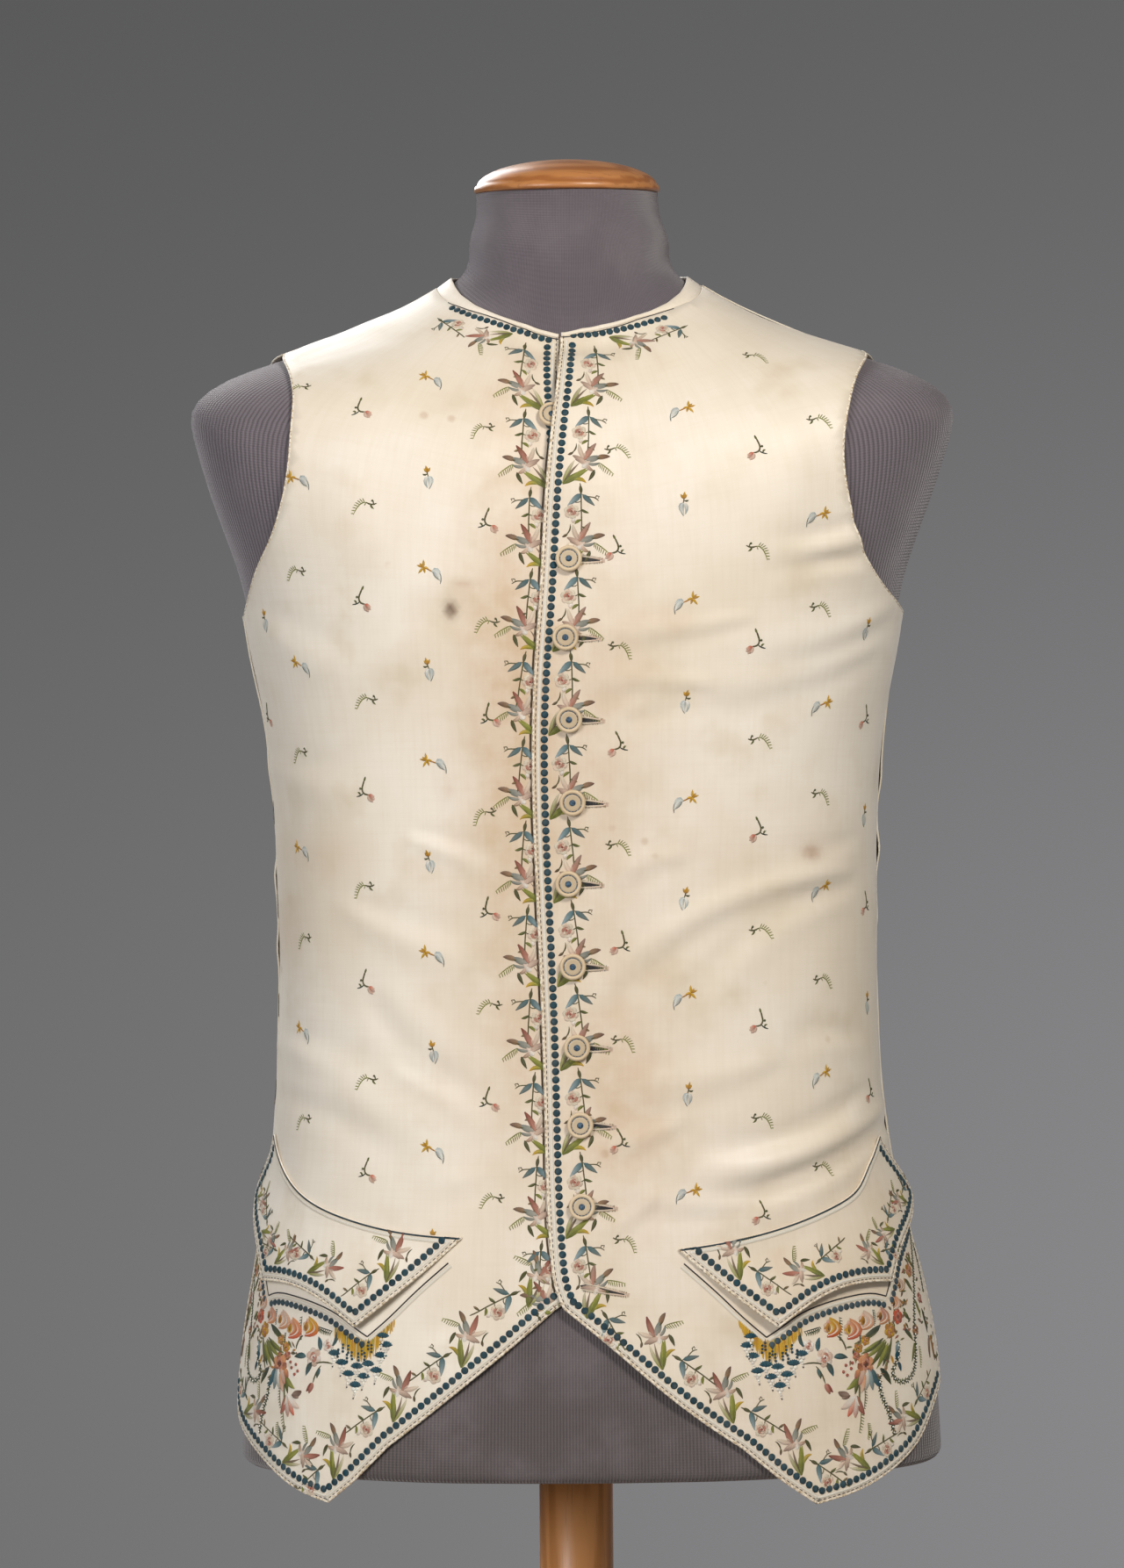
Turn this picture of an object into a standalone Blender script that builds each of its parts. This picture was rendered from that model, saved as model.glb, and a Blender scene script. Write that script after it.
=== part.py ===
"""An embroidered waistcoat of the later 1700s on a limbless dress form.

Metres in Blender, +Z up, the front faces -Y and the wearer's left is at +X.
The working sizes below are in millimetres. Every cloth panel is an outline drawn on one
body surface: an angle in degrees round the body (0 at the centre front, + towards +X) and
a level, which is the height at the side of the ring it lies on.
"""

import math

import bmesh
import bpy
import numpy as np
from mathutils import Matrix, Vector
from mathutils.geometry import delaunay_2d_cdt

MM = 0.001
PART_NAME = "embroidered_waistcoat_on_dress_form"

# Driving dimensions, millimetres
CLOTH_WALL = 1.2            # satin, interlining and lining together
SEAM_GAP = 0.3              # between two pieces that are sewn edge to edge
SEAM_GAP_DEGREES = 0.2      # the same, round the body at the sides
LAP_STEP = 2.1              # the under front lies this far inside the top front
FORM_CLEARANCE = 3.5        # from the cloth's outer face in to the jersey
LAP_CLEARANCE = 1.9         # more of it behind the two layers of the front lap
LAP_LIFT = 4.6              # how far the unbuttoned top of the lap stands off
PANEL_PITCH = 17.5          # triangle size of the fronts
BACK_PITCH = 19.0           # triangle size of the back
FLAP_PITCH = 12.0           # triangle size of the pocket flaps
NECK_PITCH = 9.0            # triangle size of the neck binding
MM_PER_DEGREE = 2.5         # mean width of a degree round the body
MM_PER_NECK_DEGREE = 1.15   # and round the neck edge
BUTTON_DIAMETER = 14.7
BUTTON_THICKNESS = 3.4
BUTTON_CLEARANCE = 0.6      # under a button, so that its flat back clears the round front
FORM_BOTTOM = 212.0
FORM_TOP = 932.5
CAP_DIAMETER = 105.5
CAP_HEIGHT = 19.0
POST_DIAMETER = 42.0
BASE_DIAMETER = 300.0
BASE_HEIGHT = 24.0
STAND_AXIS_X = -2.0         # the shoulders are centred on X = 0, the post is a little to the side

# The body surface. Each ring is tilted: its height at the front, side and back differ.
# width, front and back are its half sizes, square is its superellipse power, and lean
# widens its +X side and narrows its -X side.
RING_COLUMNS = ("level", "z_front", "z_side", "z_back", "width", "front", "back", "square", "lean")
RINGS = (
    (180, 180, 180, 180, 203.0, 130.0, 126, 2.15, 7.0),
    (230, 230, 230, 230, 202.0, 129.0, 126, 2.15, 7.0),
    (270, 270, 270, 270, 199.0, 127.0, 125, 2.15, 6.5),
    (310, 310, 310, 310, 192.0, 124.0, 121, 2.20, 6.0),
    (350, 350, 350, 350, 184.0, 121.0, 115, 2.20, 4.0),
    (390, 390, 390, 390, 176.0, 118.0, 108, 2.25, 2.5),
    (430, 430, 430, 430, 172.0, 116.0, 100, 2.30, 1.5),
    (480, 480, 480, 480, 170.0, 115.0, 95, 2.30, 1.3),
    (540, 540, 540, 540, 170.5, 116.0, 95, 2.30, 1.0),
    (590, 590, 590, 590, 172.0, 118.0, 99, 2.30, 0.5),
    (640, 640, 640, 640, 177.5, 120.5, 106, 2.30, 0.0),
    (680, 678, 680, 684, 185.0, 122.0, 112, 2.35, -0.5),
    (715, 706, 715, 722, 192.0, 121.0, 117, 2.40, -0.5),
    (750, 732, 755, 757, 206.0, 118.5, 120, 2.45, -0.5),
    (780, 754, 790, 788, 217.0, 114.5, 119, 2.45, 0.0),
    (805, 773, 813, 812, 218.0, 109.5, 116, 2.35, 0.0),
    (828, 790, 830, 833, 198.0, 103.5, 110, 2.20, 0.0),
    (848, 806, 841, 851, 168.0, 96.5, 102, 2.10, 0.0),
    (868, 821, 851, 867, 137.0, 88.0, 91, 2.05, -1.0),
    (888, 835, 865, 881, 102.0, 77.5, 76, 2.00, -1.0),
    (908, 849, 885, 892, 67.0, 66.0, 59, 2.00, -1.0),
    (930, 893, 903, 907, 57.5, 57.0, 51, 2.00, -1.0),
    (952, 914, 919, 920, 52.5, 52.0, 49, 2.00, -1.5),
    (970, 933, 933, 933, 51.5, 51.0, 50, 2.00, -2.0),
)
NECK_LEVEL = 908.0          # the neck edge at the back and the shoulders
# The neck edge round the front. Columns: angle, level.
NECK_EDGE = (
    (-87.5, 908), (-76.0, 907), (-69.0, 906), (-62.0, 905.2), (-51.0, 905.4), (-41.0, 907), (-31.0, 908.5),
    (-22.0, 909.4), (-13.0, 909.5), (-4.0, 909), (5.0, 910.5), (15.0, 910.7), (24.0, 910), (33.0, 909),
    (42.0, 907), (52.0, 905.4), (63.0, 905.2), (70.0, 906), (79.0, 907.3), (87.5, 908),
)
FORM_STEPS_ROUND = 44
FORM_LEVELS = (212, 214, 219, 240, 280, 320, 360, 400, 440, 490, 540, 590, 640,
               685, 725, 760, 785, 801, 813, 825, 839, 856, 872, 886, 897, 907, 917, 930, 950, 970)
FORM_ROUNDING = 7.0         # how far the form's lower rim rounds in

# Edges of the panels, for the wearer's left front and, with the angles turned over, the
# right one. Columns: angle, level.
TOP_FRONT_EDGE = (
    (-5.0, 908), (-5.0, 881), (-6.0, 848), (-7.3, 799), (-8.2, 738), (-9.0, 699),
    (-10.8, 636), (-10.8, 560), (-9.2, 461), (-8.5, 402), (-7.0, 338), (-5.5, 319), (-3.7, 310),
)
UNDER_FRONT_EDGE = (
    (-6.4, 908), (-5.4, 881), (-4.0, 848), (-2.4, 799), (-1.8, 750), (-3.0, 700), (-4.2, 636), (-4.0, 560),
    (-2.6, 461), (-1.6, 402), (-0.2, 338), (0.6, 319),
)
LEFT_HEM = ((-3.7, 310), (9.5, 286), (21.8, 261), (37.5, 231), (45.2, 212), (51.5, 198.5))
LEFT_POINT_TO_VENT = ((51.5, 198.5), (59.3, 204), (67.2, 215), (73.2, 228), (78.0, 244), (83.0, 258))
RIGHT_HEM = ((0.6, 319), (-6.0, 310), (-29.8, 263), (-43.8, 233), (-51.0, 212), (-56.0, 200))
RIGHT_POINT_TO_VENT = ((-56.0, 200), (-63.0, 206), (-70.0, 217), (-77.5, 230), (-84.5, 245), (-86.5, 258))
LEFT_FRONT_ARMHOLE = (
    (84.5, 694), (80.2, 697), (70.0, 711), (63.0, 732), (59.8, 754), (58.5, 776),
    (60.8, 806), (67.8, 830), (86.8, 849.5),
)
RIGHT_FRONT_ARMHOLE = (
    (84.5, 694), (80.5, 699), (72.2, 718), (66.2, 735), (62.5, 753), (60.8, 771),
    (60.8, 793), (64.2, 821), (70.0, 836), (81.0, 848), (86.8, 852),
)
BACK_ARMHOLE = (
    (87.0, 694), (93.0, 694), (103.0, 706), (112.0, 728), (117.0, 754), (117.5, 785),
    (113.0, 815), (102.0, 839), (88.6, 850.5),
)
SIDE_SEAM = 85.0            # angle of the side seam
SHOULDER_SEAM = 87.5        # angle of the shoulder seam
VENT_TOP = 342.0            # the side seam is open below this level
VENT_CORNER = 8.0           # height over which the seam runs from the vent back to its own angle
VENT_FRONT = ((84.2, 342), (85.0, 300), (83.0, 258))
VENT_BACK = ((86.0, 342), (89.0, 300), (93.0, 262))
BACK_HEM = ((180.0, 249), (170.0, 249.3), (150.0, 250), (120.0, 254), (93.0, 262))
BINDING_WIDTH = 5.6         # at the side of the neck
BINDING_AT_FRONT = 1.2      # at the centre front
BINDING_WIDENS = (34.0, 74.0)   # angles between which the binding grows wider

# Pocket flaps: the free lower edge from A by B and C to D, then the sewn seam by E back to A.
# The free edge of each flap: its inner side, its hollow lower side, then its outer side.
LEFT_FLAP_FREE = (
    ((25.2, 342), (45.0, 297.5)),
    ((45.0, 297.5), (48.2, 303.5), (51.8, 310), (57.2, 316.5), (63.0, 319), (69.5, 318)),
    ((69.5, 318), (74.0, 336), (80.0, 348), (87.5, 361)),
)
LEFT_FLAP_SEAM = ((75.8, 398), (69.1, 380), (66.0, 371), (60.3, 363), (50.5, 354), (37.2, 346), (25.2, 342))
RIGHT_FLAP_FREE = (
    ((-29.2, 349), (-50.8, 298.5)),
    ((-50.8, 298.5), (-54.0, 304.5), (-58.0, 311.5), (-63.2, 317.5), (-68.6, 320), (-74.8, 319.5)),
    ((-74.8, 319.5), (-79.0, 338), (-83.6, 351), (-88.5, 365)),
)
RIGHT_FLAP_SEAM = ((-80.5, 400), (-76.5, 389), (-67.0, 370), (-55.0, 358), (-44.0, 352), (-29.2, 349))
FLAP_AT_SEAM = 1.9          # the flap's outer face stands this far off the front at its seam
FLAP_AT_EDGE = 5.4          # and this far at its free edge

# The buttons, top to bottom. Columns: distance from the centre front round the body, level.
BUTTON_PLACES = (
    (-11.5, 846), (-2.6, 740), (-4.8, 684), (-3.1, 636), (-1.5, 590),
    (-4.1, 545), (-2.0, 499), (0.0, 454), (1.5, 411), (2.1, 366),
)


# ---- the body surface -------------------------------------------------------------------

def spline(knots, values, places):
    """Natural cubic spline of the rows of values, one row a knot, read at places."""
    steps = np.diff(knots)
    count = len(knots)
    matrix = np.zeros((count, count))
    right = np.zeros_like(values)
    matrix[0, 0] = matrix[-1, -1] = 1.0
    for i in range(1, count - 1):
        matrix[i, i - 1:i + 2] = steps[i - 1], 2 * (steps[i - 1] + steps[i]), steps[i]
        slopes = (values[i + 1] - values[i]) / steps[i] - (values[i] - values[i - 1]) / steps[i - 1]
        right[i] = 6 * slopes
    bends = np.linalg.solve(matrix, right)
    places = np.clip(places, knots[0], knots[-1])
    k = np.clip(np.searchsorted(knots, places) - 1, 0, count - 2)
    step = steps[k][..., None]
    a = (knots[k + 1] - places)[..., None] / step
    b = 1 - a
    cubic = ((a ** 3 - a) * bends[k] + (b ** 3 - b) * bends[k + 1]) * step ** 2 / 6
    return a * values[k] + b * values[k + 1] + cubic


RING_TABLE = np.array(RINGS, float)


def body_point(angle, level):
    """Points on the body surface in millimetres, for angles in degrees and levels."""
    angle, level = np.broadcast_arrays(np.asarray(angle, float), np.asarray(level, float))
    row = spline(RING_TABLE[:, 0], RING_TABLE[:, 1:], level)
    column = {name: row[..., i] for i, name in enumerate(RING_COLUMNS[1:])}
    s, c = np.sin(np.radians(angle)), np.cos(np.radians(angle))
    width = column["width"] + np.sign(s) * column["lean"]
    depth = np.where(c > 0, column["front"], column["back"])
    end = np.where(c > 0, column["z_front"], column["z_back"])
    power = column["square"]
    reach = ((np.abs(s) / width) ** power + (np.abs(c) / depth) ** power) ** (-1 / power)
    height = column["z_side"] + (end - column["z_side"]) * c * c
    return np.stack([reach * s, -reach * c, height], -1)


def body_normal(angle, level):
    """Outward unit normals of the body surface."""
    turn, rise = 0.4, 0.8
    across = body_point(angle + turn, level) - body_point(angle - turn, level)
    level = np.asarray(level, float)
    top = np.minimum(level + rise, RING_TABLE[-1, 0])
    up = body_point(angle, top) - body_point(angle, level - rise)
    normal = np.cross(across, up)
    return normal / np.linalg.norm(normal, axis=-1, keepdims=True)


def ease(value, low, high):
    """0 at low, 1 at high, smooth between them."""
    t = np.clip((value - low) / (high - low), 0.0, 1.0)
    return t * t * (3 - 2 * t)


def off_body(angle, level, distance):
    """Points at a distance outside the body surface."""
    return body_point(angle, level) + body_normal(angle, level) * np.asarray(distance)[..., None]


# ---- how each piece stands off the body surface -----------------------------------------

def no_offset(angle, level):
    return np.zeros(np.broadcast(angle, level).shape)


def under_lap(angle, level):
    """The under front steps in behind the top front."""
    return -LAP_STEP * ease(angle, -24.0, -15.0)


def top_lap(angle, level):
    """The top front stands off where it is unbuttoned, above the second button."""
    along = ease(level, 748.0, 800.0) * (1 - 0.6 * ease(level, 868.0, 908.0))
    return LAP_LIFT * along * (1 - ease(angle, -2.0, 15.0))


def form_inset(angle, level):
    """The jersey lies inside the cloth, and meets the body surface again at the bare neck."""
    lap = LAP_CLEARANCE * (1 - ease(np.abs(angle), 18.0, 34.0))
    bare = ease(level, 910.0, 940.0)
    return (FORM_CLEARANCE + lap) * (1 - bare)


# ---- outlines and panels ----------------------------------------------------------------

def smooth_line(rows, pitch):
    """Points along a smooth curve through a table's rows, about a pitch apart."""
    rows = np.array(rows, float)
    flat = rows * (MM_PER_DEGREE, 1.0)
    along = np.concatenate([[0.0], np.cumsum(np.linalg.norm(np.diff(flat, axis=0), axis=1))])
    count = max(2, int(round(along[-1] / pitch)) + 1)
    return spline(along, rows, np.linspace(0.0, along[-1], count))


def straight_line(rows, pitch):
    """Points along straight runs between a table's rows, keeping each corner."""
    rows = np.array(rows, float)
    points = [rows[:1]]
    for start, end in zip(rows[:-1], rows[1:]):
        length = np.linalg.norm((end - start) * (MM_PER_DEGREE, 1.0))
        count = max(1, int(round(length / pitch)))
        parts = np.linspace(0.0, 1.0, count + 1)[1:, None]
        points.append(start + (end - start) * parts)
    return np.concatenate(points)


def outline(*lines):
    """Joins lines end to end into one closed outline, with no point twice."""
    points = []
    for line in lines:
        for point in line:
            if not points or np.linalg.norm((point - points[-1]) * (MM_PER_DEGREE, 1.0)) > 1.0:
                points.append(point)
    if np.linalg.norm((points[0] - points[-1]) * (MM_PER_DEGREE, 1.0)) < 1.0:
        points.pop()
    return np.array(points)


def distance_inside(points, loop):
    """Distance of each point to a closed loop, negative outside it."""
    start, end = loop, np.roll(loop, -1, axis=0)
    run = end - start
    offset = points[:, None] - start
    t = np.clip((offset * run).sum(-1) / (run * run).sum(-1), 0.0, 1.0)
    near = np.linalg.norm(offset - run * t[..., None], axis=-1).min(1)
    above = (start[:, 1] > points[:, None, 1]) != (end[:, 1] > points[:, None, 1])
    rise = np.where(run[:, 1] == 0, 1.0, run[:, 1])
    crossing = start[:, 0] + offset[..., 1] / rise * run[:, 0] > points[:, None, 0]
    inside = (above & crossing).sum(1) % 2 == 1
    return np.where(inside, near, -near)


def panel_triangles(edge, pitch):
    """Triangles of the flat pattern inside an outline of angles and levels."""
    loop = edge * (MM_PER_DEGREE, 1.0)
    low, high = loop.min(0), loop.max(0)
    rows = []
    row_pitch = pitch * math.sqrt(0.75)
    for i, y in enumerate(np.arange(low[1] + row_pitch / 2, high[1], row_pitch)):
        xs = np.arange(low[0] + pitch * (0.25 + 0.5 * (i % 2)), high[0], pitch)
        rows.append(np.stack([xs, np.full(len(xs), y)], -1))
    lattice = np.concatenate(rows)
    lattice = lattice[distance_inside(lattice, loop) > 0.55 * pitch]
    points = np.concatenate([loop, lattice])
    edges = [(i, (i + 1) % len(loop)) for i in range(len(loop))]
    flat = [Vector(point) for point in points]
    found, _, faces, _, _, _ = delaunay_2d_cdt(flat, edges, [list(range(len(loop)))], 1, 1e-4)
    pattern = np.array([tuple(point) for point in found]) / (MM_PER_DEGREE, 1.0)
    return pattern, [list(face) for face in faces]


def make_panel(name, edge, material, offset=no_offset, pitch=PANEL_PITCH):
    """A cloth panel: the pattern's triangles on the body surface, with a solid wall inwards."""
    pattern, faces = panel_triangles(edge, pitch)
    angle, level = pattern[:, 0], pattern[:, 1]
    points = off_body(angle, level, offset(angle, level)) * MM
    mesh = bpy.data.meshes.new(name)
    mesh.from_pydata([tuple(point) for point in points], [], faces)
    bm = bmesh.new()
    bm.from_mesh(mesh)
    bmesh.ops.recalc_face_normals(bm, faces=bm.faces)
    middle = bm.faces[:][0]
    if middle.normal.dot(Vector((middle.calc_center_median().x, middle.calc_center_median().y, 0))) < 0:
        bmesh.ops.reverse_faces(bm, faces=bm.faces)
    bm.to_mesh(mesh)
    bm.free()
    panel = add_object(name, mesh, material)
    wall = panel.modifiers.new("cloth wall", "SOLIDIFY")
    wall.thickness = CLOTH_WALL * MM
    wall.offset = -1.0
    wall.use_even_offset = True
    return panel


def mirrored(rows):
    """A table of angles and levels turned over to the other side."""
    return [(-angle, level) for angle, level in rows]


def neck_edge(angle):
    """Level of the neck's open edge."""
    angles, levels = np.array(NECK_EDGE, float).T
    return np.interp((np.asarray(angle) + 180.0) % 360.0 - 180.0, angles, levels)


def neck_level(angle):
    """Level of the seam between a panel and the neck binding."""
    return neck_edge(angle) - (BINDING_AT_FRONT + (BINDING_WIDTH - BINDING_AT_FRONT) * ease(
        np.abs(angle), *BINDING_WIDENS))


def neck_seam(start, end, drop, pitch):
    """Points round the neck from one angle to another, drop below the binding's seam."""
    count = max(2, int(abs(end - start) * MM_PER_NECK_DEGREE / pitch) + 1)
    angles = np.linspace(start, end, count)
    return np.stack([angles, neck_level(angles) - drop], -1)


# ---- the garment ------------------------------------------------------------------------

def make_front_left(material):
    shoulder = (SHOULDER_SEAM, LEFT_FRONT_ARMHOLE[-1][1])
    edge = [row for row in TOP_FRONT_EDGE if row[1] < NECK_LEVEL]
    start = [(TOP_FRONT_EDGE[0][0], float(neck_level(TOP_FRONT_EDGE[0][0])) - SEAM_GAP)]
    loop = outline(
        smooth_line(start + edge, PANEL_PITCH),
        smooth_line(LEFT_HEM[:4], PANEL_PITCH),
        straight_line(LEFT_HEM[3:], PANEL_PITCH),
        smooth_line(LEFT_POINT_TO_VENT, PANEL_PITCH * 0.8),
        smooth_line(VENT_FRONT[::-1], PANEL_PITCH),
        straight_line(((VENT_FRONT[0][0], VENT_TOP), (SIDE_SEAM, VENT_TOP + VENT_CORNER),
                       (SIDE_SEAM, LEFT_FRONT_ARMHOLE[0][1])), PANEL_PITCH),
        smooth_line(LEFT_FRONT_ARMHOLE, PANEL_PITCH * 0.7),
        straight_line((shoulder, (SHOULDER_SEAM, float(neck_level(90.0)) - SEAM_GAP)), PANEL_PITCH),
        neck_seam(SHOULDER_SEAM, TOP_FRONT_EDGE[0][0], SEAM_GAP, NECK_PITCH),
    )
    return make_panel("front_left", loop, material, top_lap)


def make_front_right(material):
    armhole = mirrored(RIGHT_FRONT_ARMHOLE)
    edge = [row for row in UNDER_FRONT_EDGE if row[1] < NECK_LEVEL]
    start = [(UNDER_FRONT_EDGE[0][0], float(neck_level(UNDER_FRONT_EDGE[0][0])) - SEAM_GAP)]
    loop = outline(
        smooth_line(start + edge, PANEL_PITCH),
        straight_line(RIGHT_HEM[:2], PANEL_PITCH),
        smooth_line(RIGHT_HEM[1:4], PANEL_PITCH),
        straight_line(RIGHT_HEM[3:], PANEL_PITCH),
        smooth_line(RIGHT_POINT_TO_VENT, PANEL_PITCH * 0.8),
        straight_line((RIGHT_POINT_TO_VENT[-1], (-85.5, 300), (-84.2, VENT_TOP),
                       (-SIDE_SEAM, VENT_TOP + VENT_CORNER), (-SIDE_SEAM, armhole[0][1])), PANEL_PITCH),
        smooth_line(armhole, PANEL_PITCH * 0.7),
        straight_line(((-SHOULDER_SEAM, armhole[-1][1]),
                       (-SHOULDER_SEAM, float(neck_level(90.0)) - SEAM_GAP)), PANEL_PITCH),
        neck_seam(-SHOULDER_SEAM, UNDER_FRONT_EDGE[0][0], SEAM_GAP, NECK_PITCH),
    )
    return make_panel("front_right", loop, material, under_lap)


def make_back(material):
    """The back runs from seam to seam round the back; its angles pass 180 to stay in order."""
    side = SIDE_SEAM + SEAM_GAP_DEGREES
    shoulder = SHOULDER_SEAM + 2 * SEAM_GAP_DEGREES
    half = [
        smooth_line(BACK_HEM, BACK_PITCH),
        smooth_line(VENT_BACK[::-1], BACK_PITCH),
        straight_line(((VENT_BACK[0][0], VENT_TOP), (side, VENT_TOP + VENT_CORNER), (side, BACK_ARMHOLE[0][1])),
                      BACK_PITCH),
        smooth_line(((side, BACK_ARMHOLE[0][1]),) + BACK_ARMHOLE[1:], BACK_PITCH * 0.6),
        straight_line((BACK_ARMHOLE[-1], (shoulder, float(neck_level(90.0)) - SEAM_GAP)), BACK_PITCH),
        neck_seam(shoulder, 180.0, SEAM_GAP, NECK_PITCH),
    ]
    right = outline(*half)
    left = right[::-1] * (-1.0, 1.0) + (360.0, 0.0)
    return make_panel("back", outline(right, left), material, pitch=BACK_PITCH)


def make_binding(name, start, end, material, offset=no_offset):
    """A strip along the neck edge from one angle to another."""
    seam = neck_seam(end, start, 0.0, NECK_PITCH)
    top = np.stack([seam[::-1, 0], neck_edge(seam[::-1, 0])], -1)
    return make_panel(name, outline(top, seam), material, offset, NECK_PITCH)


def make_flap(name, free, seam, material):
    """A pocket flap: close to the front at its seam, standing off at its free edge."""
    seam_rows = np.array(seam, float) * (MM_PER_DEGREE, 1.0)

    def stand_off(angle, level):
        points = np.stack([angle, level], -1) * (MM_PER_DEGREE, 1.0)
        start, run = seam_rows[:-1], np.diff(seam_rows, axis=0)
        offset = points[:, None] - start
        t = np.clip((offset * run).sum(-1) / (run * run).sum(-1), 0.0, 1.0)
        near = np.linalg.norm(offset - run * t[..., None], axis=-1).min(1)
        return FLAP_AT_SEAM + (FLAP_AT_EDGE - FLAP_AT_SEAM) * ease(near, 2.0, 42.0)

    inner, lower, outer = free
    loop = outline(
        straight_line(inner, FLAP_PITCH),
        smooth_line(lower, FLAP_PITCH),
        smooth_line(outer, FLAP_PITCH),
        straight_line((outer[-1], seam[0]), FLAP_PITCH),
        smooth_line(seam, FLAP_PITCH),
    )
    return make_panel(name, loop, material, stand_off, FLAP_PITCH)


def button_profile():
    """Half section of a covered button from its rim's top round to its back, mm."""
    radius, thick = BUTTON_DIAMETER / 2, BUTTON_THICKNESS
    return (
        (0.0, thick * 0.78), (radius * 0.64, thick * 0.78), (radius * 0.78, thick),
        (radius * 0.92, thick * 0.86), (radius, thick * 0.45), (radius * 0.86, 0.0), (0.0, 0.0),
    )


def angle_at(distance, level):
    """Angle at a distance round the body from the centre front."""
    angles = np.linspace(-30.0, 30.0, 241)
    points = body_point(angles, float(level))
    steps = np.linalg.norm(np.diff(points, axis=0), axis=1)
    run = np.concatenate([[0.0], np.cumsum(steps)])
    run -= run[len(run) // 2]
    return float(np.interp(distance, run, angles))


def make_button(number, place, material):
    """The first button is on the under front, behind the lap; the others show on the lap."""
    distance, level = place
    angle = np.array(angle_at(distance, level))
    level = np.array(float(level))
    stand = BUTTON_CLEARANCE + (float(under_lap(angle, level)) if number == 1 else 0.0)
    centre = off_body(angle, level, np.array(stand)) * MM
    normal = Vector(body_normal(angle, level))
    turn = Vector((0, 0, 1)).rotation_difference(normal).to_matrix().to_4x4()
    place_matrix = Matrix.Translation(Vector(centre)) @ turn
    return turned("button_%d" % number, button_profile(), material, 16, place_matrix)


# ---- the form and the stand -------------------------------------------------------------

def make_form(material):
    """The jersey-covered form: a loft through the body's rings, closed flat below and above."""
    angles = np.arange(FORM_STEPS_ROUND) * 360.0 / FORM_STEPS_ROUND - 180.0
    bm = bmesh.new()
    loops = []
    for level in FORM_LEVELS:
        height = max(0.0, FORM_ROUNDING - (level - FORM_BOTTOM)) / FORM_ROUNDING
        rounding = FORM_ROUNDING * (1 - math.sqrt(max(0.0, 1 - height * height)))
        levels = np.full(angles.shape, float(level))
        inset = form_inset(angles, levels) + rounding
        points = off_body(angles, levels, -inset)
        if level < FORM_BOTTOM + FORM_ROUNDING:
            points[:, 2] = level
        if level == FORM_LEVELS[-1]:
            points[:, 2] = FORM_TOP
        loops.append([bm.verts.new(tuple(point * MM)) for point in points])
    for low, high in zip(loops[:-1], loops[1:]):
        for i in range(FORM_STEPS_ROUND):
            j = (i + 1) % FORM_STEPS_ROUND
            bm.faces.new((low[i], low[j], high[j], high[i]))
    bm.faces.new(loops[0][::-1])
    bm.faces.new(loops[-1])
    mesh = bpy.data.meshes.new("dress_form")
    bm.to_mesh(mesh)
    bm.free()
    return shade_round(add_object("dress_form", mesh, material))


def make_neck_cap(material):
    """A turned disc with a rounded rim and a low dome."""
    radius, height, rim = CAP_DIAMETER / 2, CAP_HEIGHT, 3.4
    dome = [(radius * 0.97 * math.sin(t), rim + (height - rim) * math.cos(t))
            for t in np.radians(np.linspace(0.0, 84.0, 7))]
    profile = dome + [(radius, rim * 0.75), (radius, rim * 0.3), (radius - 1.2, 0.0), (0.0, 0.0)]
    place = Matrix.Translation(Vector((STAND_AXIS_X, 0.0, FORM_TOP + SEAM_GAP)) * MM)
    return turned("neck_cap", profile, material, 36, place)


def make_post(material):
    """A straight round post from the base up to the form."""
    radius, low, high = POST_DIAMETER / 2, BASE_HEIGHT + SEAM_GAP, FORM_BOTTOM - SEAM_GAP
    profile = (
        (0.0, high), (radius, high), (radius, low + 12.0), (radius + 2.0, low + 10.0),
        (radius + 4.5, low + 6.0), (radius + 4.5, low), (0.0, low),
    )
    return turned("stand_post", profile, material, 32, Matrix.Translation((STAND_AXIS_X * MM, 0, 0)))


def make_base(material):
    """A round foot with a flat underside."""
    radius, height = BASE_DIAMETER / 2, BASE_HEIGHT
    profile = (
        (0.0, height), (radius - 9.0, height), (radius - 2.5, height - 2.5), (radius, height - 9.0),
        (radius, 3.0), (radius - 3.0, 0.0), (0.0, 0.0),
    )
    return turned("stand_base", profile, material, 56, Matrix.Translation((STAND_AXIS_X * MM, 0, 0)))


# ---- Blender helpers --------------------------------------------------------------------

def shade_round(obj):
    obj.data.shade_smooth()
    obj.data.set_sharp_from_angle(angle=math.radians(35.0))
    return obj


def add_object(name, mesh, material):
    obj = bpy.data.objects.new(name, mesh)
    mesh.materials.append(material)
    bpy.data.collections[PART_NAME].objects.link(obj)
    return obj


def turned(name, profile, material, steps, place):
    """A half section turned round Z; the profile runs down the outer side, top to bottom."""
    bm = bmesh.new()
    verts = [bm.verts.new((x * MM, 0.0, z * MM)) for x, z in profile]
    for a, b in zip(verts[:-1], verts[1:]):
        bm.edges.new((a, b))
    mesh = bpy.data.meshes.new(name)
    bm.to_mesh(mesh)
    bm.free()
    obj = add_object(name, mesh, material)
    obj.matrix_world = place
    screw = obj.modifiers.new("turned", "SCREW")
    screw.axis = "Z"
    screw.steps = steps
    screw.render_steps = steps
    screw.use_merge_vertices = True
    screw.merge_threshold = 0.00001
    screw.use_smooth_shade = True
    return obj


def linear(value):
    return value / 12.92 if value <= 0.04045 else ((value + 0.055) / 1.055) ** 2.4


def make_material(name, hex_colour, roughness, metallic=0.0):
    material = bpy.data.materials.new(name)
    material.use_nodes = True
    shader = material.node_tree.nodes["Principled BSDF"]
    colour = [linear(int(hex_colour[i:i + 2], 16) / 255) for i in (1, 3, 5)]
    shader.inputs["Base Color"].default_value = (*colour, 1.0)
    shader.inputs["Roughness"].default_value = roughness
    shader.inputs["Metallic"].default_value = metallic
    return material


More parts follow.
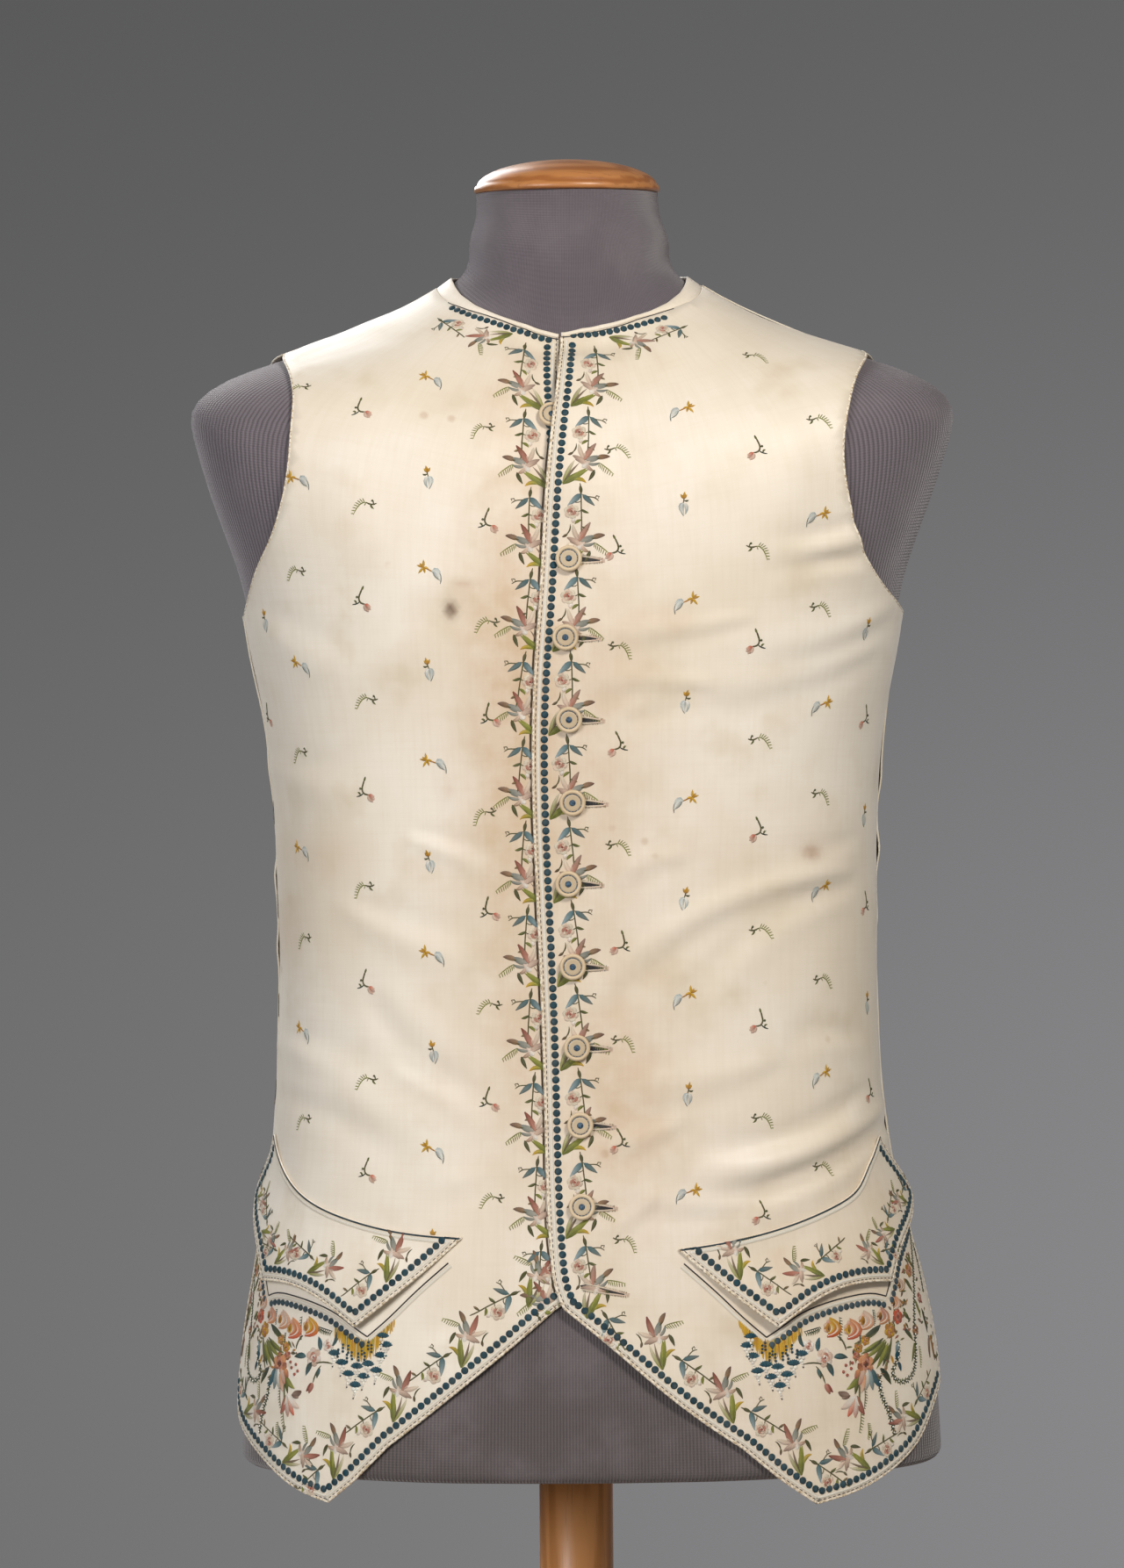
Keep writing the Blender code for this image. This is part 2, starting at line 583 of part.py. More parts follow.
def main():
    for obj in list(bpy.data.objects):
        bpy.data.objects.remove(obj, do_unlink=True)
    collection = bpy.data.collections.new(PART_NAME)
    bpy.context.scene.collection.children.link(collection)

    satin = make_material("ivory_silk_satin", "#e3d3b8", 0.42)
    backing = make_material("plain_back_cloth", "#dccdb2", 0.6)
    binding = make_material("neck_binding", "#e8dcc4", 0.42)
    flap = make_material("pocket_flap_satin", "#ded0b6", 0.42)
    button = make_material("covered_button", "#dccbb0", 0.5)
    jersey = make_material("grey_jersey", "#6b6368", 0.9)
    cap_wood = make_material("beech_cap", "#c98a4e", 0.4)
    post_wood = make_material("beech_post", "#c08a55", 0.45)
    base_wood = make_material("beech_base", "#b8834f", 0.45)

    make_front_left(satin)
    make_front_right(satin)
    make_back(backing)
    make_binding("neck_binding_left", TOP_FRONT_EDGE[0][0], SHOULDER_SEAM, binding, top_lap)
    make_binding("neck_binding_right", -SHOULDER_SEAM, UNDER_FRONT_EDGE[0][0], binding, under_lap)
    make_binding("neck_binding_back", SHOULDER_SEAM + 0.4, 359.6 - SHOULDER_SEAM, binding)
    make_flap("pocket_flap_left", LEFT_FLAP_FREE, LEFT_FLAP_SEAM, flap)
    make_flap("pocket_flap_right", RIGHT_FLAP_FREE, RIGHT_FLAP_SEAM, flap)
    for number, place in enumerate(BUTTON_PLACES, start=1):
        make_button(number, place, button)
    make_form(jersey)
    make_neck_cap(cap_wood)
    make_post(post_wood)
    make_base(base_wood)


main()
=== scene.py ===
"""The looks of an embroidered waistcoat of the later 1700s on a limbless dress form.

Working sizes are in millimetres and become metres when a mesh is made. Cloth panels are
outlines on one body surface: an angle in degrees round the body (0 at the centre front,
+ towards +X) and a level, the height at the side of the ring it lies on.
"""

import math
import random

import bmesh
import bpy
import numpy as np
from mathutils import Matrix, Vector
from mathutils.bvhtree import BVHTree
from mathutils.geometry import delaunay_2d_cdt


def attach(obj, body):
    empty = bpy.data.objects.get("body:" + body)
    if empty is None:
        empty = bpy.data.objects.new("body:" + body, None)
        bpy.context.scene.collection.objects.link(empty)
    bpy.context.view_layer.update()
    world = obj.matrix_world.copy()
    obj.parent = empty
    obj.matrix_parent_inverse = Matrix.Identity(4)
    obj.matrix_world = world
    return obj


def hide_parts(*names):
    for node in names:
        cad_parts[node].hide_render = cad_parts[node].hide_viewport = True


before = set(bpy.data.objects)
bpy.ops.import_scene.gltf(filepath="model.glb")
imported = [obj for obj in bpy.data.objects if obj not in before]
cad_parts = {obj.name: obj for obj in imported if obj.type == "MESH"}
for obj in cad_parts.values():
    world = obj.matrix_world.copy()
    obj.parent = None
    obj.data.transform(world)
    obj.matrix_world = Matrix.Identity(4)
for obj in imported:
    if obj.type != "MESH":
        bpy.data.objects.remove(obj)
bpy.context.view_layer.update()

MM = 0.001

# ---- sizes, as on the solids ------------------------------------------------------------
LAP_STEP = 2.1              # the under front lies this far inside the top front
LAP_LIFT = 4.6              # how far the unbuttoned top of the lap stands off
FORM_CLEARANCE = 3.1        # from the cloth's outer face in to the jersey
LAP_CLEARANCE = 1.9         # more of it behind the two layers of the front lap
SEAM_GAP = 0.3              # between two pieces that are sewn edge to edge
MM_PER_DEGREE = 2.5         # mean width of a degree round the body
MM_PER_NECK_DEGREE = 1.15   # and round the neck edge
DEEPEST_TROUGH = -1.1       # a crease goes no further under the smooth body than this
BUTTON_DIAMETER = 14.7
BUTTON_THICKNESS = 3.4
BUTTON_CLEARANCE = 0.6
FORM_BOTTOM = 212.0
FORM_TOP = 932.5
CAP_DIAMETER = 105.5
CAP_HEIGHT = 19.0
POST_DIAMETER = 42.0
BASE_DIAMETER = 300.0
BASE_HEIGHT = 24.0
STAND_AXIS_X = -2.0

RING_COLUMNS = ("level", "z_front", "z_side", "z_back", "width", "front", "back", "square", "lean")
RINGS = (
    (180, 180, 180, 180, 203.0, 130.0, 126, 2.15, 7.0),
    (230, 230, 230, 230, 202.0, 129.0, 126, 2.15, 7.0),
    (270, 270, 270, 270, 199.0, 127.0, 125, 2.15, 6.5),
    (310, 310, 310, 310, 192.0, 124.0, 121, 2.20, 6.0),
    (350, 350, 350, 350, 184.0, 121.0, 115, 2.20, 4.0),
    (390, 390, 390, 390, 176.0, 118.0, 108, 2.25, 2.5),
    (430, 430, 430, 430, 172.0, 116.0, 100, 2.30, 1.5),
    (480, 480, 480, 480, 170.0, 115.0, 95, 2.30, 1.3),
    (540, 540, 540, 540, 170.5, 116.0, 95, 2.30, 1.0),
    (590, 590, 590, 590, 172.0, 118.0, 99, 2.30, 0.5),
    (640, 640, 640, 640, 177.5, 120.5, 106, 2.30, 0.0),
    (680, 678, 680, 684, 185.0, 122.0, 112, 2.35, -0.5),
    (715, 706, 715, 722, 192.0, 121.0, 117, 2.40, -0.5),
    (750, 732, 755, 757, 206.0, 118.5, 120, 2.45, -0.5),
    (780, 754, 790, 788, 217.0, 114.5, 119, 2.45, 0.0),
    (805, 773, 813, 812, 218.0, 109.5, 116, 2.35, 0.0),
    (828, 790, 830, 833, 198.0, 103.5, 110, 2.20, 0.0),
    (848, 806, 841, 851, 168.0, 96.5, 102, 2.10, 0.0),
    (868, 821, 851, 867, 137.0, 88.0, 91, 2.05, -1.0),
    (888, 835, 865, 881, 102.0, 77.5, 76, 2.00, -1.0),
    (908, 849, 885, 892, 67.0, 66.0, 59, 2.00, -1.0),
    (930, 893, 903, 907, 57.5, 57.0, 51, 2.00, -1.0),
    (952, 914, 919, 920, 52.5, 52.0, 49, 2.00, -1.5),
    (970, 933, 933, 933, 51.5, 51.0, 50, 2.00, -2.0),
)
NECK_LEVEL = 908.0
# The neck edge round the front. Columns: angle, level.
NECK_EDGE = (
    (-87.5, 908), (-76.0, 907), (-69.0, 906), (-62.0, 905.2), (-51.0, 905.4), (-41.0, 907), (-31.0, 908.5),
    (-22.0, 909.4), (-13.0, 909.5), (-4.0, 909), (5.0, 910.5), (15.0, 910.7), (24.0, 910), (33.0, 909), (42.0, 907),
    (52.0, 905.4), (63.0, 905.2), (70.0, 906), (79.0, 907.3), (87.5, 908),
)
FORM_ROUNDING = 7.0         # of the form's lower edge

# Edges of the panels. Columns: angle, level.
TOP_FRONT_EDGE = (
    (-5.0, 908), (-5.0, 881), (-6.0, 848), (-7.3, 799), (-8.2, 738), (-9.0, 699), (-10.8, 636), (-10.8, 560),
    (-9.2, 461), (-8.5, 402), (-7.0, 338), (-5.5, 319), (-3.7, 310),
)
UNDER_FRONT_EDGE = (
    (-6.4, 908), (-5.4, 881), (-4.0, 848), (-2.4, 799), (-1.8, 750), (-3.0, 700), (-4.2, 636), (-4.0, 560),
    (-2.6, 461), (-1.6, 402), (-0.2, 338), (0.6, 319),
)
LEFT_HEM = ((-3.7, 310), (9.5, 286), (21.8, 261), (37.5, 231), (45.2, 212), (51.5, 198.5))
LEFT_POINT_TO_VENT = ((51.5, 198.5), (59.3, 204), (67.2, 215), (73.2, 228), (78.0, 244), (83.0, 258))
RIGHT_HEM = ((0.6, 319), (-6.0, 310), (-29.8, 263), (-43.8, 233), (-51.0, 212), (-56.0, 200))
RIGHT_POINT_TO_VENT = ((-56.0, 200), (-63.0, 206), (-70.0, 217), (-77.5, 230), (-84.5, 245), (-86.5, 258))
LEFT_FRONT_ARMHOLE = (
    (84.5, 694), (80.2, 697), (70.0, 711), (63.0, 732), (59.8, 754), (58.5, 776), (60.8, 806), (67.8, 830),
    (86.8, 849.5),
)
RIGHT_FRONT_ARMHOLE = (
    (84.5, 694), (80.5, 699), (72.2, 718), (66.2, 735), (62.5, 753), (60.8, 771), (60.8, 793), (64.2, 821),
    (70.0, 836), (81.0, 848), (86.8, 852),
)
BACK_ARMHOLE = (
    (87.0, 694), (93.0, 694), (103.0, 706), (112.0, 728), (117.0, 754), (117.5, 785), (113.0, 815), (102.0, 839),
    (88.6, 850.5),
)
SIDE_SEAM = 85.0
SHOULDER_SEAM = 87.5
VENT_TOP = 342.0
VENT_FRONT = ((84.2, 342), (85.0, 300), (83.0, 258))
VENT_BACK = ((86.0, 342), (89.0, 300), (93.0, 262))
BINDING_WIDTH = 5.6         # at the side of the neck
BINDING_AT_FRONT = 1.2      # at the centre front
LEFT_FLAP_FREE = (
    (25.2, 342), (45.0, 297.5), (48.2, 303.5), (51.8, 310), (57.2, 316.5), (63.0, 319), (69.5, 318), (74.0, 336),
    (80.0, 348), (87.5, 361),
)
LEFT_FLAP_SEAM = ((75.8, 398), (69.1, 380), (66.0, 371), (60.3, 363), (50.5, 354), (37.2, 346), (25.2, 342))
RIGHT_FLAP_FREE = (
    (-29.2, 349), (-50.8, 298.5), (-54.0, 304.5), (-58.0, 311.5), (-63.2, 317.5), (-68.6, 320), (-74.8, 319.5),
    (-79.0, 338), (-83.6, 351), (-88.5, 365),
)
RIGHT_FLAP_SEAM = ((-80.5, 400), (-76.5, 389), (-67.0, 370), (-55.0, 358), (-44.0, 352), (-29.2, 349))
FLAP_AT_SEAM = 1.9          # how far a flap stands off at its seam
FLAP_AT_EDGE = 5.4          # and at its free edge

# The buttons, top to bottom. Columns: distance from the centre front round the body, level.
BUTTON_PLACES = (
    (-11.5, 846), (-2.6, 740), (-4.8, 684), (-3.1, 636), (-1.5, 590), (-4.1, 545), (-2.0, 499), (0.0, 454),
    (1.5, 411), (2.1, 366),
)
EMPTY_BUTTONHOLE = (1.6, 322.0)         # angle and level of the one below them
BUTTONHOLES_BELOW = 800                 # the top button is sewn on where the lap falls open

# ---- sizes of the fine cloth and the embroidery -----------------------------------------
FRONT_PITCH = 3.6
BACK_PITCH = 5.5
FLAP_PITCH = 2.6
BINDING_PITCH = 2.0
WALL = 1.0
DASH_IN = 1.3               # from a panel's edge to the dark running stitch
DASH_PITCH = 3.1
BAND_IN = 3.0               # to the middle of the white satin band
BAND_WIDTH = 2.0
DOT_IN = 6.3                # to the middle of the row of dots
DOT_WIDTH = 4.25
DOT_PITCH = 4.6
BORDER_PITCH = 46.5         # one repeat of the flower border on the lap
HEM_PITCH = 50.0            # and on the hem and skirt
LAP_START = 29.0            # from the neck to the first lily down the lap
LAP_END = 545.0             # and to the last
HEM_START = {"left": 46.0, "right": 8.0}    # from the lap to the first lily on the hem
SKIRT_START = 19.0          # from the point to the first on the skirt

FLAT = np.array((MM_PER_DEGREE, 1.0))   # turns angles and levels into millimetres of flat pattern

random.seed(1780)


# ---- the body surface -------------------------------------------------------------------

def spline_bends(knots, values):
    """Second derivatives of the natural cubic spline through rows of values."""
    steps = np.diff(knots)
    count = len(knots)
    matrix = np.zeros((count, count))
    right = np.zeros_like(values)
    matrix[0, 0] = matrix[-1, -1] = 1.0
    for i in range(1, count - 1):
        matrix[i, i - 1:i + 2] = steps[i - 1], 2 * (steps[i - 1] + steps[i]), steps[i]
        slopes = (values[i + 1] - values[i]) / steps[i] - (values[i] - values[i - 1]) / steps[i - 1]
        right[i] = 6 * slopes
    return np.linalg.solve(matrix, right)


def spline(knots, values, places, bends=None):
    """Natural cubic spline of the rows of values, one row a knot, read at places."""
    bends = spline_bends(knots, values) if bends is None else bends
    places = np.clip(places, knots[0], knots[-1])
    k = np.clip(np.searchsorted(knots, places) - 1, 0, len(knots) - 2)
    step = (knots[k + 1] - knots[k])[..., None]
    a = (knots[k + 1] - places)[..., None] / step
    b = 1 - a
    cubic = ((a ** 3 - a) * bends[k] + (b ** 3 - b) * bends[k + 1]) * step ** 2 / 6
    return a * values[k] + b * values[k + 1] + cubic


RING_TABLE = np.array(RINGS, float)
RING_BENDS = spline_bends(RING_TABLE[:, 0], RING_TABLE[:, 1:])


def body_point(angle, level):
    """Points on the body surface in millimetres, for angles in degrees and levels."""
    angle, level = np.broadcast_arrays(np.asarray(angle, float), np.asarray(level, float))
    row = spline(RING_TABLE[:, 0], RING_TABLE[:, 1:], level, RING_BENDS)
    column = {name: row[..., i] for i, name in enumerate(RING_COLUMNS[1:])}
    s, c = np.sin(np.radians(angle)), np.cos(np.radians(angle))
    width = column["width"] + np.sign(s) * column["lean"]
    depth = np.where(c > 0, column["front"], column["back"])
    end = np.where(c > 0, column["z_front"], column["z_back"])
    power = column["square"]
    reach = ((np.abs(s) / width) ** power + (np.abs(c) / depth) ** power) ** (-1 / power)
    height = column["z_side"] + (end - column["z_side"]) * c * c
    return np.stack([reach * s, -reach * c, height], -1)


def unit(vectors):
    return vectors / np.maximum(np.linalg.norm(vectors, axis=-1, keepdims=True), 1e-9)


def body_normal(angle, level):
    """Outward unit normals of the body surface."""
    turn, rise = 0.4, 0.8
    across = body_point(angle + turn, level) - body_point(angle - turn, level)
    level = np.asarray(level, float)
    top = np.minimum(level + rise, RING_TABLE[-1, 0])
    up = body_point(angle, top) - body_point(angle, level - rise)
    return unit(np.cross(across, up))


def ease(value, low, high):
    """0 at low, 1 at high, smooth between them."""
    t = np.clip((value - low) / (high - low), 0.0, 1.0)
    return t * t * (3 - 2 * t)


def front_place(x, z):
    """Angle and level of the front's surface point at a width x and a height z."""
    x, z = np.asarray(x, float), np.asarray(z, float)
    angle = np.degrees(np.arcsin(np.clip(x / 190.0, -0.95, 0.95)))
    level = z.copy()
    for _ in range(40):
        here = body_point(angle, level)
        slope = (body_point(angle + 0.5, level)[..., 0] - here[..., 0]) / 0.5
        angle = np.clip(angle + 0.7 * (x - here[..., 0]) / np.maximum(slope, 0.4), -92.0, 92.0)
        level = np.clip(level + 0.9 * (z - here[..., 2]), 185.0, 907.0)
    return angle, level


# ---- creases ----------------------------------------------------------------------------

# Main creases of each panel, seen from its own side. A ridge has a positive height, a
# trough a negative one. Columns: x and z of one end, x and z of the other, bow sideways,
# half width, height.
LEFT_CREASES = (
    (158, 745, 108, 734, 2, 4.5, -1.4), (164, 735, 104, 727, 2, 5.0, 1.6), (160, 722, 104, 721, -2, 4.5, -1.3),
    (176, 697, 98, 677, 6, 6.5, 1.7), (168, 676, 70, 654, 6, 6.0, 1.4), (96, 692, 12, 684, 2, 4.5, 1.1),
    (74, 655, 9, 657, -2, 4.5, 1.1), (30, 634, 92, 640, 4, 6.0, -0.8), (152, 549, 10, 484, -15, 5.5, 1.9),
    (150, 538, 60, 478, -12, 6.0, -1.1), (156, 567, 106, 563, 3, 6.0, -1.0), (60, 560, 14, 546, -3, 5.0, 0.9),
    (160, 456, 118, 460, -3, 6.0, -1.2), (160, 424, 66, 398, 8, 5.5, -2.0), (170, 412, 62, 384, 9, 6.5, 3.4),
    (172, 402, 78, 372, 6, 5.0, -2.4), (110, 446, 16, 434, 5, 7.0, 1.1), (92, 366, 24, 377, 4, 5.0, 1.2),
    (60, 414, 14, 400, 3, 4.5, 1.0), (44, 372, 14, 352, 2, 4.0, 0.9), (120, 290, 168, 236, 6, 9.0, 1.1),
    (60, 300, 96, 262, -4, 7.0, 0.8), (120, 800, 96, 700, 10, 14, 1.0),
)
RIGHT_CREASES = (
    (-158, 836, -92, 852, 4, 5.0, -1.4), (-150, 846, -102, 862, 3, 5.0, 1.2), (-176, 690, -120, 660, -5, 8.0, 1.1),
    (-172, 610, -120, 596, -4, 7.0, 0.9), (-90, 569, -32, 541, 3, 4.5, 1.1), (-128, 530, -46, 498, -4, 7.0, 1.0),
    (-114, 478, -52, 418, -6, 9.0, -1.2), (-168, 452, -104, 410, 6, 8.0, 1.3), (-166, 424, -92, 386, 4, 7.0, -1.0),
    (-100, 440, -36, 396, 4, 6.0, 0.9), (-34, 700, -92, 716, -5, 9.0, 0.8), (-34, 800, -60, 720, -6, 9.0, 1.0),
    (-122, 790, -100, 700, -8, 14, 1.0), (-66, 294, -108, 258, -5, 7.0, 0.8), (-130, 286, -168, 238, -6, 9.0, 1.0),
    (-40, 388, -84, 380, 3, 5.0, 0.7),
)
BACK_CREASES = (
    (168, 600, 84, 560, 8, 11, 2.2), (-168, 610, -72, 556, -9, 12, 2.3), (170, 560, 60, 512, 7, 10, 2.4),
    (-170, 548, -66, 500, -6, 10, 2.2), (166, 520, 78, 470, 6, 9, 1.9), (-166, 506, -54, 462, -8, 11, 2.0),
    (150, 700, 96, 640, 6, 12, 1.6), (-152, 712, -90, 652, -7, 12, 1.7), (40, 470, -44, 462, 5, 9, 1.3),
    (30, 520, -52, 528, -5, 10, 1.4), (8, 420, 14, 270, 6, 12, 1.5), (-76, 400, -90, 262, -6, 12, 1.5),
    (92, 410, 100, 268, 7, 13, 1.6),
)


def crease_height(x, z, creases):
    """Height of the creased cloth over its smooth form."""
    height = np.zeros_like(x)
    for x0, z0, x1, z1, bow, half_width, lift in creases:
        run = np.array([x1 - x0, z1 - z0], float)
        length = np.linalg.norm(run)
        along = run / length
        side = np.array([-along[1], along[0]])
        dx, dz = x - x0, z - z0
        t = (dx * along[0] + dz * along[1]) / length
        inside = np.clip(t, 0.0, 1.0)
        curve = bow * 4 * inside * (1 - inside)
        across = dx * side[0] + dz * side[1] - curve
        beyond = (t - inside) * length
        width = half_width * (0.8 + 0.9 * inside)
        q = np.hypot(across, beyond) / width
        fade = ease(t, -0.25, 0.2) * (1 - ease(t, 0.55, 1.2))
        beside = np.exp(-(across / width - 1.6) ** 2 - (beyond / width) ** 2)
        height += lift * fade * (np.exp(-q * q) - 0.45 * beside)
    return height


def soft_swell(x, z, phase):
    """The slow unevenness of cloth that hangs on a form."""
    return (
        0.55 * np.sin(x / 31.0 + z / 83.0 + phase) * np.sin(z / 47.0 - x / 120.0 + 2 * phase)
        + 0.28 * np.sin(x / 13.0 - z / 29.0 + 3 * phase) * np.sin(z / 19.0 + phase)
    )


# ---- how each piece stands off the body surface -----------------------------------------

def under_lap(angle):
    return -LAP_STEP * ease(angle, -24.0, -15.0)


def top_lap(angle, level):
    along = ease(level, 748.0, 800.0) * (1 - 0.6 * ease(level, 868.0, 908.0))
    return LAP_LIFT * along * (1 - ease(angle, -2.0, 15.0))


def form_inset(angle, level):
    lap = LAP_CLEARANCE * (1 - ease(np.abs(angle), 18.0, 34.0))
    bare = ease(level, 910.0, 940.0)
    return (FORM_CLEARANCE + lap) * (1 - bare)


def left_front_stand(angle, level):
    x, _, z = np.moveaxis(body_point(angle, level), -1, 0)
    calm = ease(np.asarray(angle, float), -6.0, 14.0)
    free = 0.35 + crease_height(x, z, LEFT_CREASES) + soft_swell(x, z, 0.4) * calm
    return top_lap(angle, level) + np.maximum(free, DEEPEST_TROUGH)


def right_front_stand(angle, level):
    x, _, z = np.moveaxis(body_point(angle, level), -1, 0)
    calm = 1 - ease(np.asarray(angle, float), -34.0, -18.0)
    free = (0.35 + soft_swell(x, z, 2.1)) * calm + crease_height(x, z, RIGHT_CREASES) * calm
    return under_lap(angle) + np.maximum(free, DEEPEST_TROUGH)


def back_stand(angle, level):
    x, _, z = np.moveaxis(body_point(angle, level), -1, 0)
    free = 0.4 + crease_height(x, z, BACK_CREASES) + soft_swell(x, z, 1.3) * 1.3
    return np.maximum(free, DEEPEST_TROUGH)


def flap_stand(seam, front_stand, phase):
    """A flap lies on the front's own creases at its seam and stands off at its free edge."""
    seam_rows = np.array(seam, float) * FLAT

    def stand(angle, level):
        points = np.stack([np.asarray(angle, float), np.asarray(level, float)], -1)
        points = points * FLAT
        start, run = seam_rows[:-1], np.diff(seam_rows, axis=0)
        offset = points[..., None, :] - start
        t = np.clip((offset * run).sum(-1) / (run * run).sum(-1), 0.0, 1.0)
        near = np.linalg.norm(offset - run * t[..., None], axis=-1).min(-1)
        free = ease(near, 2.0, 42.0)
        wave = 0.8 * np.sin(points[..., 0] / 17.0 + phase) * free
        rise = FLAP_AT_SEAM + (FLAP_AT_EDGE - FLAP_AT_SEAM) * free + wave
        return np.maximum(front_stand(angle, level) + 1.4, rise)

    return stand


# ---- outlines ---------------------------------------------------------------------------

def run_lengths(points):
    """Distance along a run of points, from its first to each."""
    return np.concatenate([[0.0], np.cumsum(np.linalg.norm(np.diff(points, axis=0), axis=1))])


def smooth_line(rows, pitch):
    """Points along a smooth curve through a table's rows, about a pitch apart."""
    rows = np.array(rows, float)
    along = run_lengths(rows * FLAT)
    count = max(2, int(round(along[-1] / pitch)) + 1)
    return spline(along, rows, np.linspace(0.0, along[-1], count))


def straight_line(rows, pitch):
    """Points along straight runs between a table's rows, keeping each corner."""
    rows = np.array(rows, float)
    points = [rows[:1]]
    for start, end in zip(rows[:-1], rows[1:]):
        length = np.linalg.norm((end - start) * FLAT)
        count = max(1, int(round(length / pitch)))
        points.append(start + (end - start) * np.linspace(0.0, 1.0, count + 1)[1:, None])
    return np.concatenate(points)


def outline(lines):
    """Joins lines end to end into one closed outline, with no point twice."""
    points = []
    for line in lines:
        for point in line:
            if not points or np.linalg.norm((point - points[-1]) * FLAT) > 0.4:
                points.append(point)
    if np.linalg.norm((points[0] - points[-1]) * FLAT) < 0.4:
        points.pop()
    return np.array(points)


def neck_edge(angle):
    angles, levels = np.array(NECK_EDGE, float).T
    return np.interp((np.asarray(angle) + 180.0) % 360.0 - 180.0, angles, levels)


def neck_level(angle):
    width = BINDING_AT_FRONT + (BINDING_WIDTH - BINDING_AT_FRONT) * ease(np.abs(angle), 34.0, 74.0)
    return neck_edge(angle) - width


def neck_seam(start, end, drop, pitch):
    count = max(2, int(abs(end - start) * MM_PER_NECK_DEGREE / pitch) + 1)
    angles = np.linspace(start, end, count)
    return np.stack([angles, neck_level(angles) - drop], -1)


def front_lines(pitch, way, edge, hem, point_to_vent, vent, armhole):
    """A front's outline; way is +1 on the wearer's left, and hem and vent are lines already made."""
    inner, side, shoulder = edge[0][0], way * SIDE_SEAM, way * SHOULDER_SEAM
    top = (inner, float(neck_level(inner)) - SEAM_GAP)
    return {
        "lap": smooth_line([top] + [row for row in edge if row[1] < NECK_LEVEL], pitch),
        "hem": np.concatenate(hem),
        "skirt": smooth_line(point_to_vent, pitch),
        "vent": vent,
        "side": straight_line(((way * VENT_FRONT[0][0], VENT_TOP), (side, VENT_TOP + 8.0),
                               (side, armhole[0][1])), pitch),
        "armhole": smooth_line([(way * angle, level) for angle, level in armhole], pitch),
        "shoulder": straight_line(((shoulder, armhole[-1][1]),
                                   (shoulder, float(neck_level(90.0)) - SEAM_GAP)), pitch),
        "neck": neck_seam(shoulder, inner, SEAM_GAP, pitch),
    }


def front_left_lines(pitch):
    hem = [smooth_line(LEFT_HEM[:4], pitch), straight_line(LEFT_HEM[3:], pitch)[1:]]
    return front_lines(pitch, 1, TOP_FRONT_EDGE, hem, LEFT_POINT_TO_VENT, smooth_line(VENT_FRONT[::-1], pitch),
                       LEFT_FRONT_ARMHOLE)


def front_right_lines(pitch):
    hem = [straight_line(RIGHT_HEM[:2], pitch), smooth_line(RIGHT_HEM[1:4], pitch)[1:],
           straight_line(RIGHT_HEM[3:], pitch)[1:]]
    vent = straight_line((RIGHT_POINT_TO_VENT[-1], (-85.5, 300), (-VENT_FRONT[0][0], VENT_TOP)), pitch)
    return front_lines(pitch, -1, UNDER_FRONT_EDGE, hem, RIGHT_POINT_TO_VENT, vent, RIGHT_FRONT_ARMHOLE)


def back_lines(pitch):
    seam = 0.2
    side = SIDE_SEAM + seam
    half = {
        "hem": smooth_line(((180.0, 249.0), (170.0, 249.3), (150.0, 250.0), (120.0, 254.0), (93.0, 262.0)), pitch),
        "vent": smooth_line(VENT_BACK[::-1], pitch),
        "side": straight_line(((VENT_BACK[0][0], VENT_TOP), (side, VENT_TOP + 8.0), (side, 694.0)), pitch),
        "armhole": smooth_line(((side, 694.0),) + BACK_ARMHOLE[1:], pitch),
        "shoulder": straight_line((BACK_ARMHOLE[-1],
                                   (SHOULDER_SEAM + 2 * seam, float(neck_level(90.0)) - SEAM_GAP)), pitch),
        "neck": neck_seam(SHOULDER_SEAM + 2 * seam, 180.0, SEAM_GAP, pitch),
    }
    other = {name + "_right": line[::-1] * (-1.0, 1.0) + (360.0, 0.0) for name, line in reversed(half.items())}
    return {**half, **other}


def flap_lines(free, seam, pitch):
    return {
        "inner": straight_line(free[0:2], pitch),
        "lower": smooth_line(free[1:7], pitch),
        "outer": smooth_line(free[6:], pitch),
        "end": straight_line((free[-1], seam[0]), pitch),
        "seam": smooth_line(seam, pitch),
    }


# ---- cloth panels -----------------------------------------------------------------------

def distance_inside(points, loop):
    """Distance of each point to a closed loop, negative outside it."""
    found = np.empty(len(points))
    start, end = loop, np.roll(loop, -1, axis=0)
    run = end - start
    rise = np.where(run[:, 1] == 0, 1.0, run[:, 1])
    for low in range(0, len(points), 2000):
        part = points[low:low + 2000]
        offset = part[:, None] - start
        t = np.clip((offset * run).sum(-1) / (run * run).sum(-1), 0.0, 1.0)
        near = np.linalg.norm(offset - run * t[..., None], axis=-1).min(1)
        above = (start[:, 1] > part[:, None, 1]) != (end[:, 1] > part[:, None, 1])
        crossing = start[:, 0] + offset[..., 1] / rise * run[:, 0] > part[:, None, 0]
        inside = (above & crossing).sum(1) % 2 == 1
        found[low:low + 2000] = np.where(inside, near, -near)
    return found


def panel_triangles(edge, pitch):
    """Triangles of the flat pattern inside an outline of angles and levels."""
    loop = edge * FLAT
    low, high = loop.min(0), loop.max(0)
    rows = []
    row_pitch = pitch * math.sqrt(0.75)
    for i, y in enumerate(np.arange(low[1] + row_pitch / 2, high[1], row_pitch)):
        xs = np.arange(low[0] + pitch * (0.25 + 0.5 * (i % 2)), high[0], pitch)
        rows.append(np.stack([xs, np.full(len(xs), y)], -1))
    lattice = np.concatenate(rows)
    lattice = lattice[distance_inside(lattice, loop) > 0.55 * pitch]
    points = np.concatenate([loop, lattice])
    edges = [(i, (i + 1) % len(loop)) for i in range(len(loop))]
    flat = [Vector(point) for point in points]
    found, _, faces, _, _, _ = delaunay_2d_cdt(flat, edges, [list(range(len(loop)))], 1, 1e-4)
    pattern = np.array([tuple(point) for point in found]) / FLAT
    return pattern, np.array([list(face) for face in faces])


